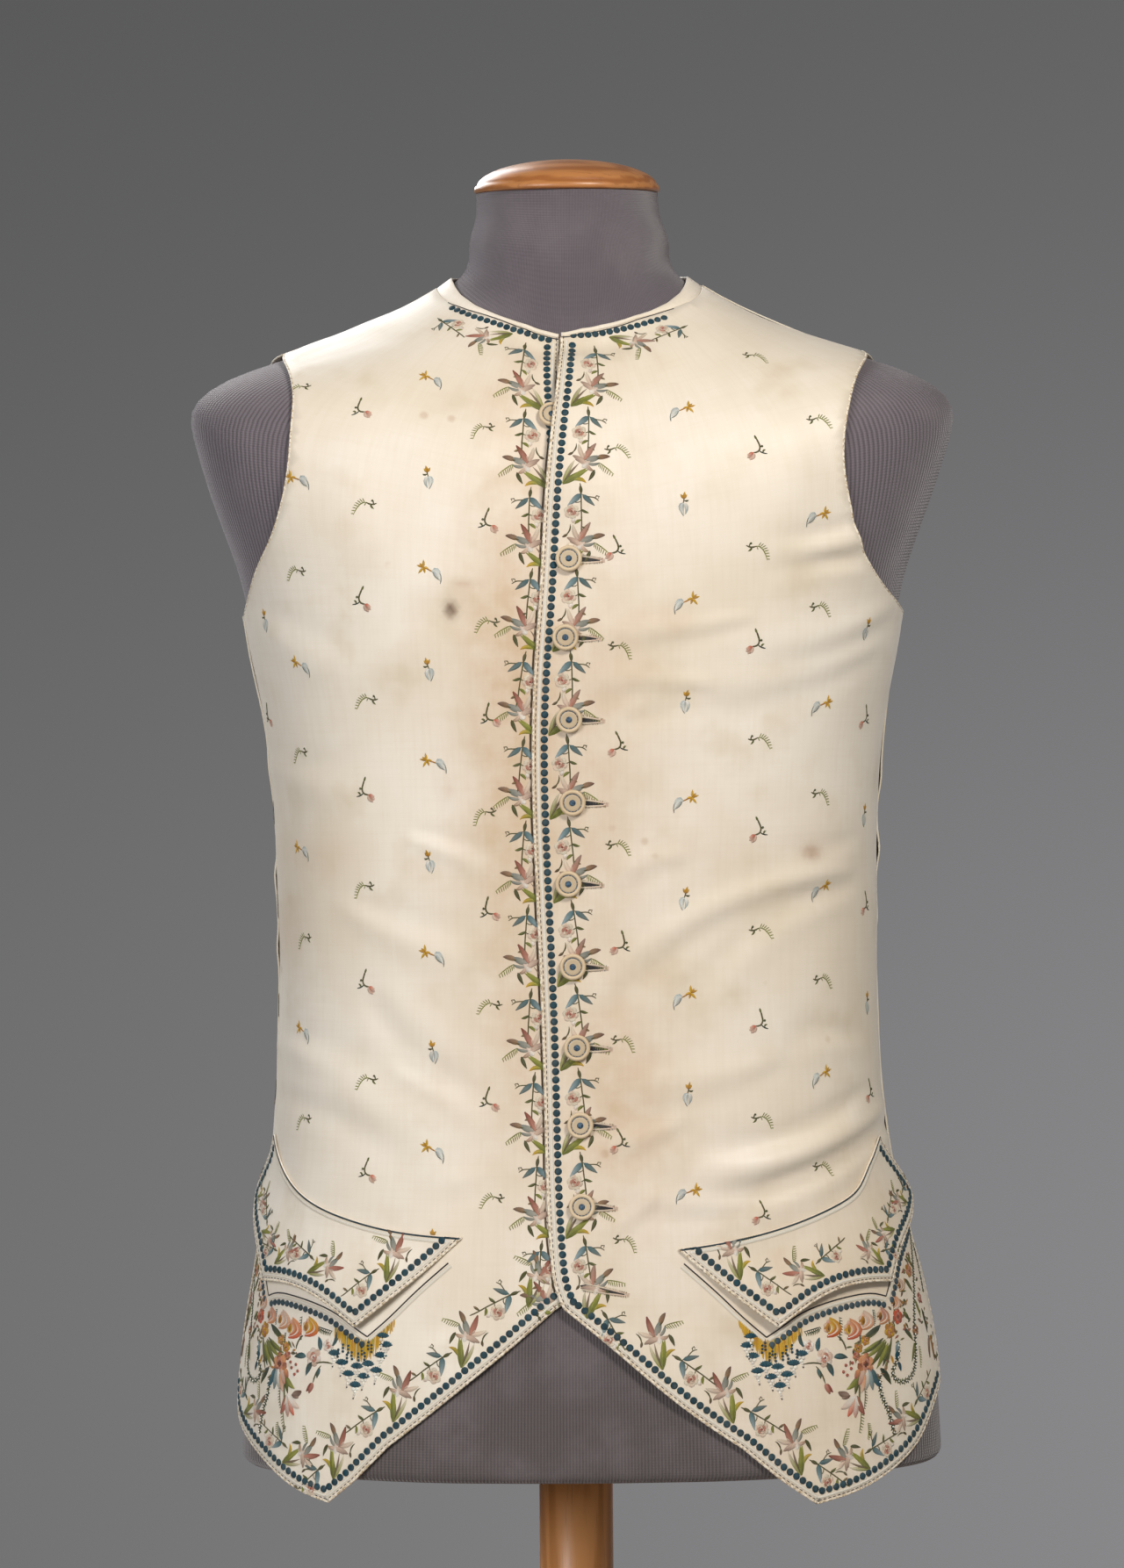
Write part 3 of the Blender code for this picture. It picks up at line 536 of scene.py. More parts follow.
def rim_loop(faces):
    """The boundary of a triangle mesh, in order round it."""
    follow = {}
    used = {(a, b) for face in faces for a, b in zip(face, np.roll(face, -1))}
    for a, b in used:
        if (b, a) not in used:
            follow[a] = b
    start = next(iter(follow))
    loop = [start]
    while follow[loop[-1]] != start:
        loop.append(follow[loop[-1]])
    return np.array(loop)


def new_mesh(name, points, faces, uv_name=None, uv=None):
    """A smooth mesh from points in millimetres, with a UV layer read point by point."""
    mesh = bpy.data.meshes.new(name)
    mesh.from_pydata([tuple(point) for point in np.array(points) * MM], [], faces)
    mesh.shade_smooth()
    if uv_name:
        loops = np.empty(len(mesh.loops), dtype=np.int32)
        mesh.loops.foreach_get("vertex_index", loops)
        mesh.uv_layers.new(name=uv_name).data.foreach_set("uv", np.array(uv)[loops].ravel())
    return mesh


def make_cloth(name, lines, stand, pitch, slot):
    """A panel: a thin closed shell with a rolled edge, and what is needed to sew on it."""
    pattern, faces = panel_triangles(outline(lines.values()), pitch)
    angle, level = pattern[:, 0], pattern[:, 1]
    outer = body_point(angle, level) + body_normal(angle, level) * stand(angle, level)[:, None]
    corners = outer[faces]
    flat_normals = np.cross(corners[:, 1] - corners[:, 0], corners[:, 2] - corners[:, 0])
    way = body_normal(angle[faces[:, 0]], level[faces[:, 0]])
    wrong = (flat_normals * way).sum(-1) < 0
    faces[wrong] = faces[wrong][:, ::-1]
    flat_normals[wrong] *= -1
    normals = np.zeros_like(outer)
    for i in range(3):
        np.add.at(normals, faces[:, i], flat_normals)
    normals = unit(normals)
    inner = outer - normals * WALL
    rim = rim_loop(faces)
    ahead = unit(outer[np.roll(rim, -1)] - outer[np.roll(rim, 1)])
    outward = unit(np.cross(ahead, normals[rim]))
    rolled = outer[rim] - normals[rim] * WALL * 0.5 + outward * WALL * 0.3
    count, rolls = len(outer), len(rim)
    points = np.concatenate([outer, inner, rolled])
    quads = []
    for i in range(rolls):
        j = (i + 1) % rolls
        quads.append((rim[i], 2 * count + i, 2 * count + j, rim[j]))
        quads.append((2 * count + i, rim[i] + count, rim[j] + count, 2 * count + j))
    flat = pattern * FLAT * MM
    shapes = [*faces, *(faces[:, ::-1] + count), *quads]
    mesh = new_mesh(name, points, [tuple(map(int, shape)) for shape in shapes], "cut",
                    np.concatenate([flat, flat, flat[rim]]))
    triangles = [tuple(map(int, face)) for face in faces]
    tree = BVHTree.FromPolygons([tuple(point) for point in outer], triangles)
    return {"obj": add_piece(name, mesh, slot), "lines": lines, "stand": stand, "tree": tree}


def on_panel(panel, angle, level):
    """Points, normals on a panel's outer face at angles and levels."""
    normal = body_normal(angle, level)
    return body_point(angle, level) + normal * panel["stand"](angle, level)[..., None], normal


def cloth_run(panel, line, step=1.0, turn=1.0):
    """Points along a line of angles and levels, with the ways ahead, to its left and off the cloth."""
    flat = np.array(line, float) * FLAT
    along = run_lengths(flat)
    places = np.linspace(0.0, along[-1], max(3, int(along[-1] / step)))
    angle = np.interp(places, along, flat[:, 0]) / MM_PER_DEGREE
    level = np.interp(places, along, flat[:, 1])
    points, normals = on_panel(panel, angle, level)
    ahead = unit(np.gradient(points, axis=0))
    return points, ahead, unit(np.cross(normals, ahead)) * turn, normals


def edge_run(panel, line_name, step=1.0):
    """Points along one edge of a panel with the ways ahead, inward and off the cloth."""
    return cloth_run(panel, panel["lines"][line_name], step, panel_turn(panel))


def shifted(run, inset):
    points, ahead, inward, normals = run
    return points + inward * inset, ahead, inward, normals


def reversed_run(run):
    points, ahead, inward, normals = (part[::-1] for part in run)
    return points, -ahead, inward, normals


def panel_turn(panel):
    """+1 where the panel lies to the left of its outline as it runs, -1 to the right."""
    loop = outline(panel["lines"].values()) * FLAT
    after = np.roll(loop, -1, axis=0)
    area = (loop[:, 0] * after[:, 1] - after[:, 0] * loop[:, 1]).sum()
    return 1.0 if area > 0 else -1.0


def inset_run(panel, line_names, inset, beside=None):
    """A line a distance inside a panel's edges, mitred at its corners.

    It may come nearer than that to the line named beside.
    """
    rim = on_panel(panel, *outline(panel["lines"].values()).T)[0]
    if beside:
        others = [name for name in panel["lines"] if name != beside]
        rim = np.concatenate([edge_run(panel, name)[0] for name in others])
        near = edge_run(panel, beside)[0]
    parts = []
    for name in line_names:
        points, ahead, inward, normals = edge_run(panel, name)
        moved = points + inward * inset
        gap = np.linalg.norm(moved[:, None] - rim, axis=-1).min(1)
        keep = gap > 0.965 * inset
        if beside:
            keep &= np.linalg.norm(moved[:, None] - near, axis=-1).min(1) > 0.55 * inset
        parts.append([moved[keep], ahead[keep], inward[keep], normals[keep]])
    return [np.concatenate(columns) for columns in zip(*parts)]


def settle(panel, point):
    """The nearest point and normal of a panel's outer face."""
    place, normal, _, _ = panel["tree"].find_nearest(Vector(point))
    return np.array(place), np.array(normal)


# ---- needlework -------------------------------------------------------------------------

def linear(value):
    return value / 12.92 if value <= 0.04045 else ((value + 0.055) / 1.055) ** 2.4


def colour(hex_colour):
    """Linear RGB of an sRGB hex colour."""
    return np.array([linear(int(hex_colour[i:i + 2], 16) / 255) for i in (1, 3, 5)])


# One colour, the dark brown along the lap's edge, is painted shadow rather than a dye.
SILK = {
    "cream": "#e8dac0", "white": "#f6efe0", "tan": "#a98b60", "dark": "#1f2026", "painted_lap_shadow": "#54422e",
    "ink": "#083c49", "sea": "#125262", "teal": "#486b6f", "slate_teal": "#334c56", "pale_blue": "#9fb1b2",
    "leaf": "#6f7430", "lime": "#96973e", "moss": "#4d5128", "olive": "#5a552f", "bottle": "#2b3b2f",
    "mauve": "#9c8270", "grey": "#a5a192", "slate": "#737b74", "plum": "#6c4f40", "fawn": "#9d7c59",
    "rose": "#a05443", "pink": "#c48872", "blush": "#e0c2ab", "crimson": "#84402f",
    "coral": "#d35a36", "peach": "#e09a68", "gold": "#d8a824", "amber": "#b67d27", "brown": "#563319",
}
SILK_LINEAR = {name: colour(value) for name, value in SILK.items()}


class Needlework:
    """Raised stitches on one panel, gathered into a single mesh."""

    def __init__(self, panel):
        self.panel = panel
        self.fuller = 1.0
        self.points, self.faces, self.dyes, self.threads = [], [], [], []

    def place(self, frame_, flat, heights):
        """Local sizes (along, inward) to points on the cloth, raised by heights."""
        origin, ahead, inward = frame_
        placed = []
        for (a, b), height in zip(flat, heights):
            point, normal = settle(self.panel, origin + ahead * a + inward * b)
            placed.append(point + normal * height)
        return placed

    def add_grid(self, placed, rows, columns, dyes, threads, flip):
        base = len(self.points)
        self.points.extend(placed)
        self.dyes.extend(dyes)
        self.threads.extend(threads)
        for i in range(rows - 1):
            for j in range(columns - 1):
                a = base + i * columns + j
                quad = (a, a + columns, a + columns + 1, a + 1)
                self.faces.append(quad[::-1] if flip else quad)

    def leaf(self, frame_, start, middle, end, width, dye, tip=None, height=0.4, steps=6,
             shape="leaf", centre=None):
        """A satin-stitched leaf, petal or stem on a curve from start by middle to end."""
        start, middle, end = (np.array(p, float) for p in (start, middle, end))
        width = width * self.fuller
        t = np.linspace(0.0, 1.0, steps)
        control = 2 * middle - (start + end) / 2
        spine = (np.outer((1 - t) ** 2, start) + np.outer(2 * t * (1 - t), control) + np.outer(t * t, end))
        ahead = unit(np.gradient(spine, axis=0))
        side = np.stack([-ahead[:, 1], ahead[:, 0]], -1)
        if shape == "leaf":
            half = width / 2 * np.sin(np.pi * np.clip(t * 0.94 + 0.03, 0, 1)) ** 0.75 * (1.25 - 0.5 * t)
        elif shape == "petal":
            half = width / 2 * np.sin(np.pi * np.clip(t ** 0.8 * 0.93 + 0.05, 0, 1)) ** 0.6
        else:
            half = width / 2 * np.clip(np.minimum(t, 1 - t) * 6 + 0.45, 0, 1)
        columns = (-1.0, -0.55, 0.0, 0.55, 1.0) if width > 1.0 else (-1.0, 0.0, 1.0)
        flat, heights, dyes, threads = [], [], [], []
        dye, tip = SILK_LINEAR[dye], SILK_LINEAR[tip or dye]
        heart = SILK_LINEAR[centre] if centre else None
        tone = 1 + random.uniform(-0.10, 0.10)
        run = run_lengths(spine)
        for i in range(steps):
            for c in columns:
                flat.append(spine[i] + side[i] * half[i] * c)
                heights.append(0.06 + height * (1 - c * c) * min(1.0, half[i] / 0.5))
                mixed = dye + (tip - dye) * t[i] ** 1.3
                if heart is not None:
                    mixed = mixed + (heart - mixed) * 0.75 * math.exp(-(c * 2.2) ** 2) * (1 - t[i])
                # Painted shade: a leaf darkens towards its edges, where its raised satin turns away.
                dyes.append(mixed * tone * (1 - 0.16 * abs(c)))
                threads.append((run[i] * MM, half[i] * c * MM))
        placed = self.place(frame_, flat, heights)
        self.add_grid(placed, steps, len(columns), dyes, threads, self.flip(frame_))

    def leaves(self, frame_, rows, scale):
        """The leaves and petals of a table, drawn at a scale."""
        for kind, start, middle, end, width, dye, tip in rows:
            points = [np.array(p, float) * scale for p in (start, middle, end)]
            self.leaf(frame_, *points, width * scale, dye, tip, 0.42, 6, kind)

    def flip(self, frame_):
        """Whether faces laid in a frame's own order would look into the cloth."""
        origin, ahead, inward = frame_
        _, normal = settle(self.panel, origin)
        return np.dot(np.cross(ahead, inward), normal) < 0

    def stem(self, frame_, points, width, dye, height=0.32):
        """A line of stem stitch through points."""
        points = np.array(points, float)
        width = width * self.fuller
        along = run_lengths(points)
        count = max(3, int(along[-1] / 1.3) + 1)
        spine = spline(along, points, np.linspace(0.0, along[-1], count))
        ahead = unit(np.gradient(spine, axis=0))
        side = np.stack([-ahead[:, 1], ahead[:, 0]], -1)
        flat, heights, dyes, threads = [], [], [], []
        tone = SILK_LINEAR[dye] * (1 + random.uniform(-0.1, 0.1))
        for i in range(count):
            end = 0.55 if i in (0, count - 1) else 1.0
            for c in (-1.0, 0.0, 1.0):
                flat.append(spine[i] + side[i] * width / 2 * c * end)
                heights.append(0.06 + height * (1 - abs(c)))
                dyes.append(tone)
                threads.append((along[-1] * i / count * MM, width * c * MM))
        placed = self.place(frame_, flat, heights)
        self.add_grid(placed, count, 3, dyes, threads, self.flip(frame_))

    def dot(self, frame_, centre, width, dye, height=0.85, sides=10):
        """A padded satin-stitch dot."""
        rings = ((0.0, 1.0), (0.6, 0.92), (0.9, 0.62), (1.0, 0.05))
        tone = SILK_LINEAR[dye] * (1 + random.uniform(-0.22, 0.18))
        flat, heights, dyes, threads = [], [], [], []
        turn = random.uniform(0, math.tau)
        for reach, rise in rings[1:]:
            for k in range(sides):
                angle = turn + math.tau * k / sides
                offset = np.array([math.cos(angle), math.sin(angle)]) * reach * width / 2
                flat.append(np.array(centre) + offset)
                heights.append(height * rise)
                dyes.append(tone)
                threads.append(tuple(offset * MM))
        base = len(self.points)
        top = self.place(frame_, [centre], [height])
        self.points.extend(top + self.place(frame_, flat, heights))
        self.dyes.extend([tone] + dyes)
        self.threads.extend([(0.0, 0.0)] + threads)
        flip = self.flip(frame_)
        for k in range(sides):
            n = (k + 1) % sides
            faces = [(base, base + 1 + k, base + 1 + n)]
            for ring in range(2):
                a = base + 1 + ring * sides
                faces.append((a + k, a + sides + k, a + sides + n, a + n))
            self.faces.extend([face[::-1] if flip else face for face in faces])

    def ribbon(self, run, half_width, height, dye, dye_edge=None):
        """A continuous satin band along a run of points."""
        points, ahead, inward, normals = run
        columns = (-1.0, -0.5, 0.0, 0.5, 1.0)
        placed, dyes, threads = [], [], []
        middle, edge = SILK_LINEAR[dye], SILK_LINEAR[dye_edge or dye]
        run_length = 0.0
        for i, point in enumerate(points):
            if i:
                run_length += np.linalg.norm(point - points[i - 1])
            for c in columns:
                spot, normal = settle(self.panel, point + inward[i] * half_width * c)
                placed.append(spot + normal * (0.07 + height * (1 - c * c)))
                dyes.append(middle + (edge - middle) * abs(c))
                threads.append((half_width * c * MM, run_length * MM))
        flip = np.dot(np.cross(ahead[0], inward[0]), normals[0]) < 0
        self.add_grid(placed, len(points), len(columns), dyes, threads, flip)

    def along(self, run, pitch, start=0.0, end=None):
        """Frames spaced along a run of points, each an origin with its ahead and inward ways."""
        points, ahead, inward, normals = run
        length = run_lengths(points)
        end = length[-1] if end is None else end
        frames = []
        for place in np.arange(start, end + 1e-6, pitch):
            i = int(np.clip(np.searchsorted(length, place) - 1, 0, len(points) - 2))
            part = (place - length[i]) / max(length[i + 1] - length[i], 1e-6)
            origin = points[i] + (points[i + 1] - points[i]) * part
            frames.append((origin, unit(ahead[i] + ahead[i + 1]), unit(inward[i] + inward[i + 1])))
        return frames

    def make(self, name, slot):
        """Ends the work: one mesh with its dyes, painted shade at the edges of its leaves, and the run of its
        threads.
        """
        mesh = new_mesh(name, self.points, self.faces, "thread", self.threads)
        values = np.ones((len(self.points), 4), dtype=np.float32)
        values[:, :3] = np.clip(np.array(self.dyes), 0, 1)
        mesh.color_attributes.new("dye", "FLOAT_COLOR", "POINT").data.foreach_set("color", values.ravel())
        add_piece(name, mesh, slot).data.materials.append(floss_material())


# ---- motifs -----------------------------------------------------------------------------
# Places are (along the edge, inward) in millimetres from a motif's own origin.

# The lily border. Columns: kind, start, middle, end, width, dye, tip dye.
LILY = (
    ("leaf", (15.4, 0.4), (7.4, 3.0), (1.4, 6.0), 1.8, "lime", "cream"),
    ("leaf", (15.6, 0.6), (9.4, 3.8), (2.8, 8.6), 1.2, "olive", "mauve"),
    ("leaf", (15.8, 0.6), (11.0, 6.6), (6.0, 13.8), 3.0, "leaf", "lime"),
    ("leaf", (12.4, 4.2), (8.6, 8.8), (5.2, 13.0), 1.5, "lime", "lime"),
    ("leaf", (15.8, 0.8), (12.4, 5.2), (9.2, 9.6), 1.1, "moss", "leaf"),
    ("leaf", (13.0, 6.6), (12.0, 10.2), (13.8, 13.6), 1.9, "lime", "gold"),
    ("leaf", (5.6, 17.6), (8.8, 16.6), (12.4, 14.8), 1.8, "moss", "olive"),
    ("petal", (-0.4, 10.8), (-4.2, 8.6), (-8.4, 7.4), 2.2, "blush", "cream"),
    ("petal", (0.4, 12.4), (-1.0, 16.4), (-3.0, 20.0), 3.0, "grey", "slate"),
    ("petal", (-1.6, 18.4), (-3.0, 21.8), (-3.6, 25.4), 2.4, "fawn", "plum"),
    ("leaf", (-1.4, 17.4), (-1.8, 19.2), (-2.6, 21.4), 1.3, "moss", "olive"),
    ("petal", (2.4, 12.6), (0.4, 8.6), (-1.2, 4.6), 2.4, "blush", "mauve"),
    ("petal", (3.4, 12.2), (1.8, 9.4), (1.0, 6.2), 1.5, "blush", "mauve"),
    ("petal", (5.0, 10.6), (3.0, 12.4), (0.6, 14.6), 2.8, "white", "blush"),
    ("petal", (2.4, 13.4), (2.4, 17.0), (1.0, 19.8), 1.5, "grey", "slate"),
    ("petal", (3.0, 13.0), (5.2, 14.6), (6.0, 17.0), 1.8, "blush", "fawn"),
    ("petal", (0.6, 11.8), (-1.6, 11.4), (-3.8, 11.6), 1.8, "mauve", "blush"),
    ("leaf", (-8.6, 6.0), (-4.8, 5.6), (-2.0, 3.0), 0.7, "olive", "moss"),
    ("leaf", (-3.2, 4.8), (-2.0, 3.2), (-1.4, 1.8), 1.2, "olive", "plum"),
)
# The flame petal is red on some blooms and beige on others.
LILY_FLAME = ((0.4, 11.4), (-4.6, 13.6), (-10.2, 17.0), 2.8)
LILY_SPRAY = (
    ("leaf", (20.6, 11.2), (23.6, 8.6), (28.2, 4.4), 2.8, "teal", "pale_blue"),
    ("leaf", (21.0, 11.0), (23.4, 8.4), (26.8, 5.6), 0.6, "bottle", "teal"),
    ("leaf", (20.8, 12.4), (23.2, 15.4), (26.4, 19.6), 2.4, "teal", "slate"),
    ("leaf", (21.0, 12.8), (22.6, 15.0), (25.0, 18.0), 0.6, "moss", "bottle"),
    ("leaf", (15.6, 10.4), (18.2, 11.0), (20.8, 11.4), 1.6, "olive", "moss"),
    ("leaf", (29.4, 12.2), (30.6, 14.6), (31.0, 16.8), 1.3, "moss", "leaf"),
    ("leaf", (35.6, 12.8), (36.8, 10.6), (38.6, 9.4), 1.4, "leaf", "lime"),
    ("leaf", (39.4, 13.4), (40.4, 15.6), (41.0, 17.2), 1.2, "olive", "fawn"),
    ("petal", (35.4, 9.2), (36.6, 8.4), (38.0, 8.4), 2.0, "white", "blush"),
)
LILY_STEMS = (
    (((14.4, 10.2), (18.0, 11.0), (24.0, 11.8), (30.0, 12.4), (36.0, 13.0), (42.0, 13.4), (45.6, 14.0)),
     0.6, "olive"),
    (((20.6, 11.8), (21.6, 15.4), (21.8, 19.4), (23.2, 21.6)), 0.5, "olive"),
    (((21.8, 19.4), (20.4, 20.4), (20.8, 21.8), (21.9, 21.2)), 0.5, "olive"),
    (((24.6, 11.8), (25.8, 9.4), (25.0, 7.6)), 0.45, "olive"),
    (((30.0, 12.4), (31.0, 10.6), (30.8, 8.6)), 0.5, "olive"),
)
LILY_FERNS = (
    ((0.8, 19.6), (3.0, 23.6), (6.6, 28.4), 3.4),
)
LILY_ROSE = ((31.4, 7.0), 4.1)


def fern(work, frame_, start, middle, end, length, dye="lime", count=8, scale=1.0):
    """A comb of short stitches off one side of a curved rib."""
    fuller, work.fuller = work.fuller, 1.0
    start, middle, end = (np.array(p, float) * scale for p in (start, middle, end))
    control = 2 * middle - (start + end) / 2
    work.leaf(frame_, start, middle, end, 0.6, "leaf" if dye == "lime" else dye, dye, 0.3, 5, "stem")
    for t in np.linspace(0.04, 0.96, count):
        root = (1 - t) ** 2 * start + 2 * t * (1 - t) * control + t * t * end
        ahead = unit(2 * (1 - t) * (control - start) + 2 * t * (end - control))
        side = np.array([ahead[1], -ahead[0]])
        side = side if side[0] > 0 else -side
        reach = length * scale * math.sin(math.pi * min(0.95, 0.25 + 0.6 * t)) ** 0.8
        tip = root + (side * 0.9 + ahead * 0.35) * reach
        work.leaf(frame_, root, (root + tip) / 2, tip, 0.62, dye, "leaf", 0.3, 3, "stem")
    work.fuller = fuller


def rose(work, frame_, centre, radius, outer="blush", mid="pink", heart="rose"):
    """A small rose: crescent petals round a wound heart."""
    centre = np.array(centre, float)
    for ring, count, reach, width, dye, tip in (
        (0, 6, 0.76, 0.6, outer, mid), (1, 4, 0.46, 0.42, mid, "pink"), (2, 3, 0.22, 0.3, heart, outer),
    ):
        turn = ring * 0.9 + 0.3
        for k in range(count):
            angle = turn + math.tau * k / count
            spread = math.pi / count * 1.15

            def at(offset, far, angle=angle):
                way = np.array([math.cos(angle + offset), math.sin(angle + offset)])
                return centre + way * radius * far

            work.leaf(frame_, at(-spread, reach * 0.8), at(0.0, reach * 1.12), at(spread * 1.1, reach * 1.05),
                      radius * width, dye if k % 2 else tip, tip, 0.35 + 0.18 * ring, 5, "petal")
    work.dot(frame_, centre, radius * 0.4, heart, 0.75, 7)


def lily(work, frame_, scale=1.0, flame="mauve"):
    """A lily with its blades rooted in the row of dots, and a fern."""
    work.fuller = 1.25
    work.leaves(frame_, LILY, scale)
    *points, width = LILY_FLAME
    work.leaf(frame_, *(np.array(p) * scale for p in points), width * scale, "pink", flame, 0.5, 6, "petal")
    for start, middle, end, length in LILY_FERNS:
        fern(work, frame_, start, middle, end, length, scale=scale)
    work.fuller = 1.0


def lily_spray(work, frame_, scale=1.0):
    """The stem from one lily to the next, with its teal leaves and its rose."""
    work.fuller = 1.25
    work.leaves(frame_, LILY_SPRAY, scale)
    for points, width, dye in LILY_STEMS:
        work.stem(frame_, np.array(points) * scale, width, dye)
    centre, radius = LILY_ROSE
    work.fuller = 1.0
    rose(work, frame_, np.array(centre) * scale, radius * scale, "blush", "cream", "rose")


def lily_repeat(work, frame_, scale=1.0, flame="mauve"):
    lily(work, frame_, scale, flame)
    lily_spray(work, frame_, scale)


def sprig_fern(work, f):
    work.stem(f, ((-6.2, 1.6), (-3.6, 0.8), (-0.4, 1.6)), 0.7, "olive")
    work.stem(f, ((-4.6, 1.0), (-4.0, 3.2)), 0.6, "moss")
    work.dot(f, (-3.6, 3.0), 1.3, "moss", 0.5, 6)
    work.leaf(f, (-2.6, 1.0), (-3.6, -0.6), (-5.0, -1.6), 0.9, "moss", "leaf", 0.3, 4)
    fern(work, f, (-0.6, 1.8), (3.4, 0.2), (6.6, -5.6), 2.9, "lime", 9)


def sprig_pink(work, f):
    work.stem(f, ((0.2, 7.8), (1.2, 5.0), (1.8, 2.4), (0.8, 0.2), (-2.4, -0.6)), 0.75, "olive")
    work.leaf(f, (0.6, 6.6), (-0.2, 8.4), (-0.6, 9.6), 1.0, "leaf", "moss", 0.3, 4)
    work.dot(f, (2.9, 2.9), 1.5, "moss", 0.5, 6)
    work.stem(f, ((1.0, 0.4), (3.0, -1.0), (5.4, -1.6)), 0.6, "bottle")
    work.leaf(f, (3.0, -0.8), (3.6, 0.4), (4.8, 0.8), 0.9, "moss", "leaf", 0.3, 4)
    for dx, dy, dye in ((-3.6, -1.0, "coral"), (-3.8, -2.6, "rose"), (-2.6, -4.0, "pink"), (-1.4, -3.6, "blush")):
        start = np.array((-2.2, -0.6))
        end = start + (dx, dy)
        work.leaf(f, start, (start + end) / 2 + (0.2, -0.4), end, 2.1, dye, "blush", 0.4, 5, "petal")


def sprig_star(work, f):
    heart = np.array((3.4, 1.6))
    for k, ray in enumerate(((0.4, 4.2), (4.0, 1.0), (2.8, -3.6), (-1.0, -3.2), (-2.8, -0.4), (2.4, 2.2))):
        ray = np.array(ray)
        work.leaf(f, heart, heart + ray / 2, heart + ray, 1.1, "amber" if k % 2 else "gold", "gold", 0.3, 4)
    work.stem(f, ((3.0, 1.6), (0.0, 0.2), (-1.8, -0.6)), 0.6, "amber")
    work.leaf(f, (-1.6, -0.4), (-4.2, -0.8), (-6.6, -5.4), 3.2, "pale_blue", "white", 0.4, 6, "leaf", "white")
    work.stem(f, ((-1.8, -0.6), (-5.2, -0.6), (-6.8, -3.8), (-6.6, -7.0)), 0.45, "slate")
    work.stem(f, ((-2.0, -0.9), (-3.6, -3.4), (-6.4, -5.0)), 0.4, "slate")


def sprig_bud(work, f):
    top = np.array((0.2, 3.4))
    for petal in ((-1.6, 2.6), (0.8, 3.8), (1.8, 2.2)):
        petal = np.array(petal)
        work.leaf(f, top, top + petal / 2, top + petal, 1.2, "amber", "gold", 0.35, 4, "petal")
    work.stem(f, ((0.4, 5.0), (0.2, 2.6), (-0.4, 0.8)), 0.55, "olive")
    work.leaf(f, (-0.4, 1.0), (-1.6, -1.6), (-0.4, -6.0), 2.4, "pale_blue", "white", 0.4, 6, "leaf", "white")
    work.leaf(f, (-0.2, 0.8), (1.4, -1.4), (0.4, -5.4), 1.7, "white", "pale_blue", 0.4, 5)
    work.stem(f, ((-0.8, 0.6), (-2.2, -1.8), (-0.6, -6.2)), 0.4, "slate")
    work.leaf(f, (0.2, 2.4), (1.8, 2.0), (2.8, 2.6), 0.9, "olive", "moss", 0.3, 4)


SPRIGS = {"fern": sprig_fern, "pink": sprig_pink, "star": sprig_star, "bud": sprig_bud}

# The scattered sprigs stand in columns, counted from a front's own edge.
# Columns: distance from the centre front, height of the first, drop to the next, two kinds.
LEFT_SPRIGS = (
    (24, 783, 54.5, "fern", "pink"), (61, 808, 54.2, "star", "bud"), (102, 836, 53.0, "fern", "pink"),
    (137, 800, 52.0, "fern", "star"), (164, 684, 52.5, "bud", "pink"),
)
RIGHT_SPRIGS = (
    (-48, 797, 53.5, "fern", "pink"), (-80, 824, 53.2, "star", "bud"), (-116, 807, 53.0, "pink", "fern"),
    (-153, 822, 51.6, "fern", "star"), (-173, 690, 54.0, "bud", "pink"),
)


def scatter_sprigs(work, columns, side, lowest):
    """Sprigs down a front; side is +1 on the wearer's left and -1 on the right."""
    work.fuller = 1.3
    for x, top, drop, even, odd in columns:
        for k in range(12):
            z = top - k * drop
            if z < lowest:
                break
            angle, level = front_place(x + random.uniform(-1.5, 1.5), z + random.uniform(-1.5, 1.5))
            f = upright(work.panel, angle, level, side, random.uniform(-0.14, 0.14))
            SPRIGS[(even, odd)[k % 2]](work, f)
    work.fuller = 1.0


def upright(panel, angle, level, side=1, lean=0.0):
    """A frame on a front: its first way runs to the side, its second up, turned by lean."""
    origin, normal = on_panel(panel, angle, level)
    up = np.array([math.sin(lean), 0.0, math.cos(lean)])
    up = unit(up - normal * np.dot(up, normal))
    return origin, unit(np.cross(up, normal)) * side, up


# ---- the spray and tassels under each pocket ---------------------------------------------
# Angles and levels of the wearer's left pocket; the right one is its mirror, a little further round.

RIGHT_POCKET_TURN = 5.8
POCKET_INNER = ((26.3, 334), (34.0, 316), (38.8, 303), (43.2, 292))
POCKET_LOWER = ((43.2, 292), (46.2, 297), (49.2, 302.4), (54.8, 308.6), (61.0, 312), (66.2, 312), (68.5, 310))
POCKET_OUTER = ((68.5, 310), (70.0, 317), (73.2, 331), (79.8, 345), (86.0, 355))

# Columns: angle, level, radius, outer, middle and heart dyes.
SPRAY_ROSES = (
    (56.0, 295.5, 5.8, "coral", "gold", "amber"), (60.0, 293.8, 6.1, "coral", "peach", "gold"),
    (63.0, 298.0, 5.6, "peach", "blush", "amber"), (66.8, 299.5, 5.0, "peach", "pink", "brown"),
    (70.4, 306.0, 4.4, "blush", "peach", "brown"), (72.8, 315.0, 4.0, "amber", "blush", "brown"),
)
# Small leaves and buds between them. Columns: angle, level, how far they spread in each, number.
SPRAY_FILL = (
    (71.0, 296, 2.6, 12, 26), (72.6, 312, 2.2, 9, 16), (76.0, 330, 2.4, 9, 12), (60.6, 281, 2.2, 5, 12),
    (79.0, 300, 1.6, 18, 18), (65.6, 270, 2.0, 5, 8), (81.5, 280, 1.2, 12, 8),
)
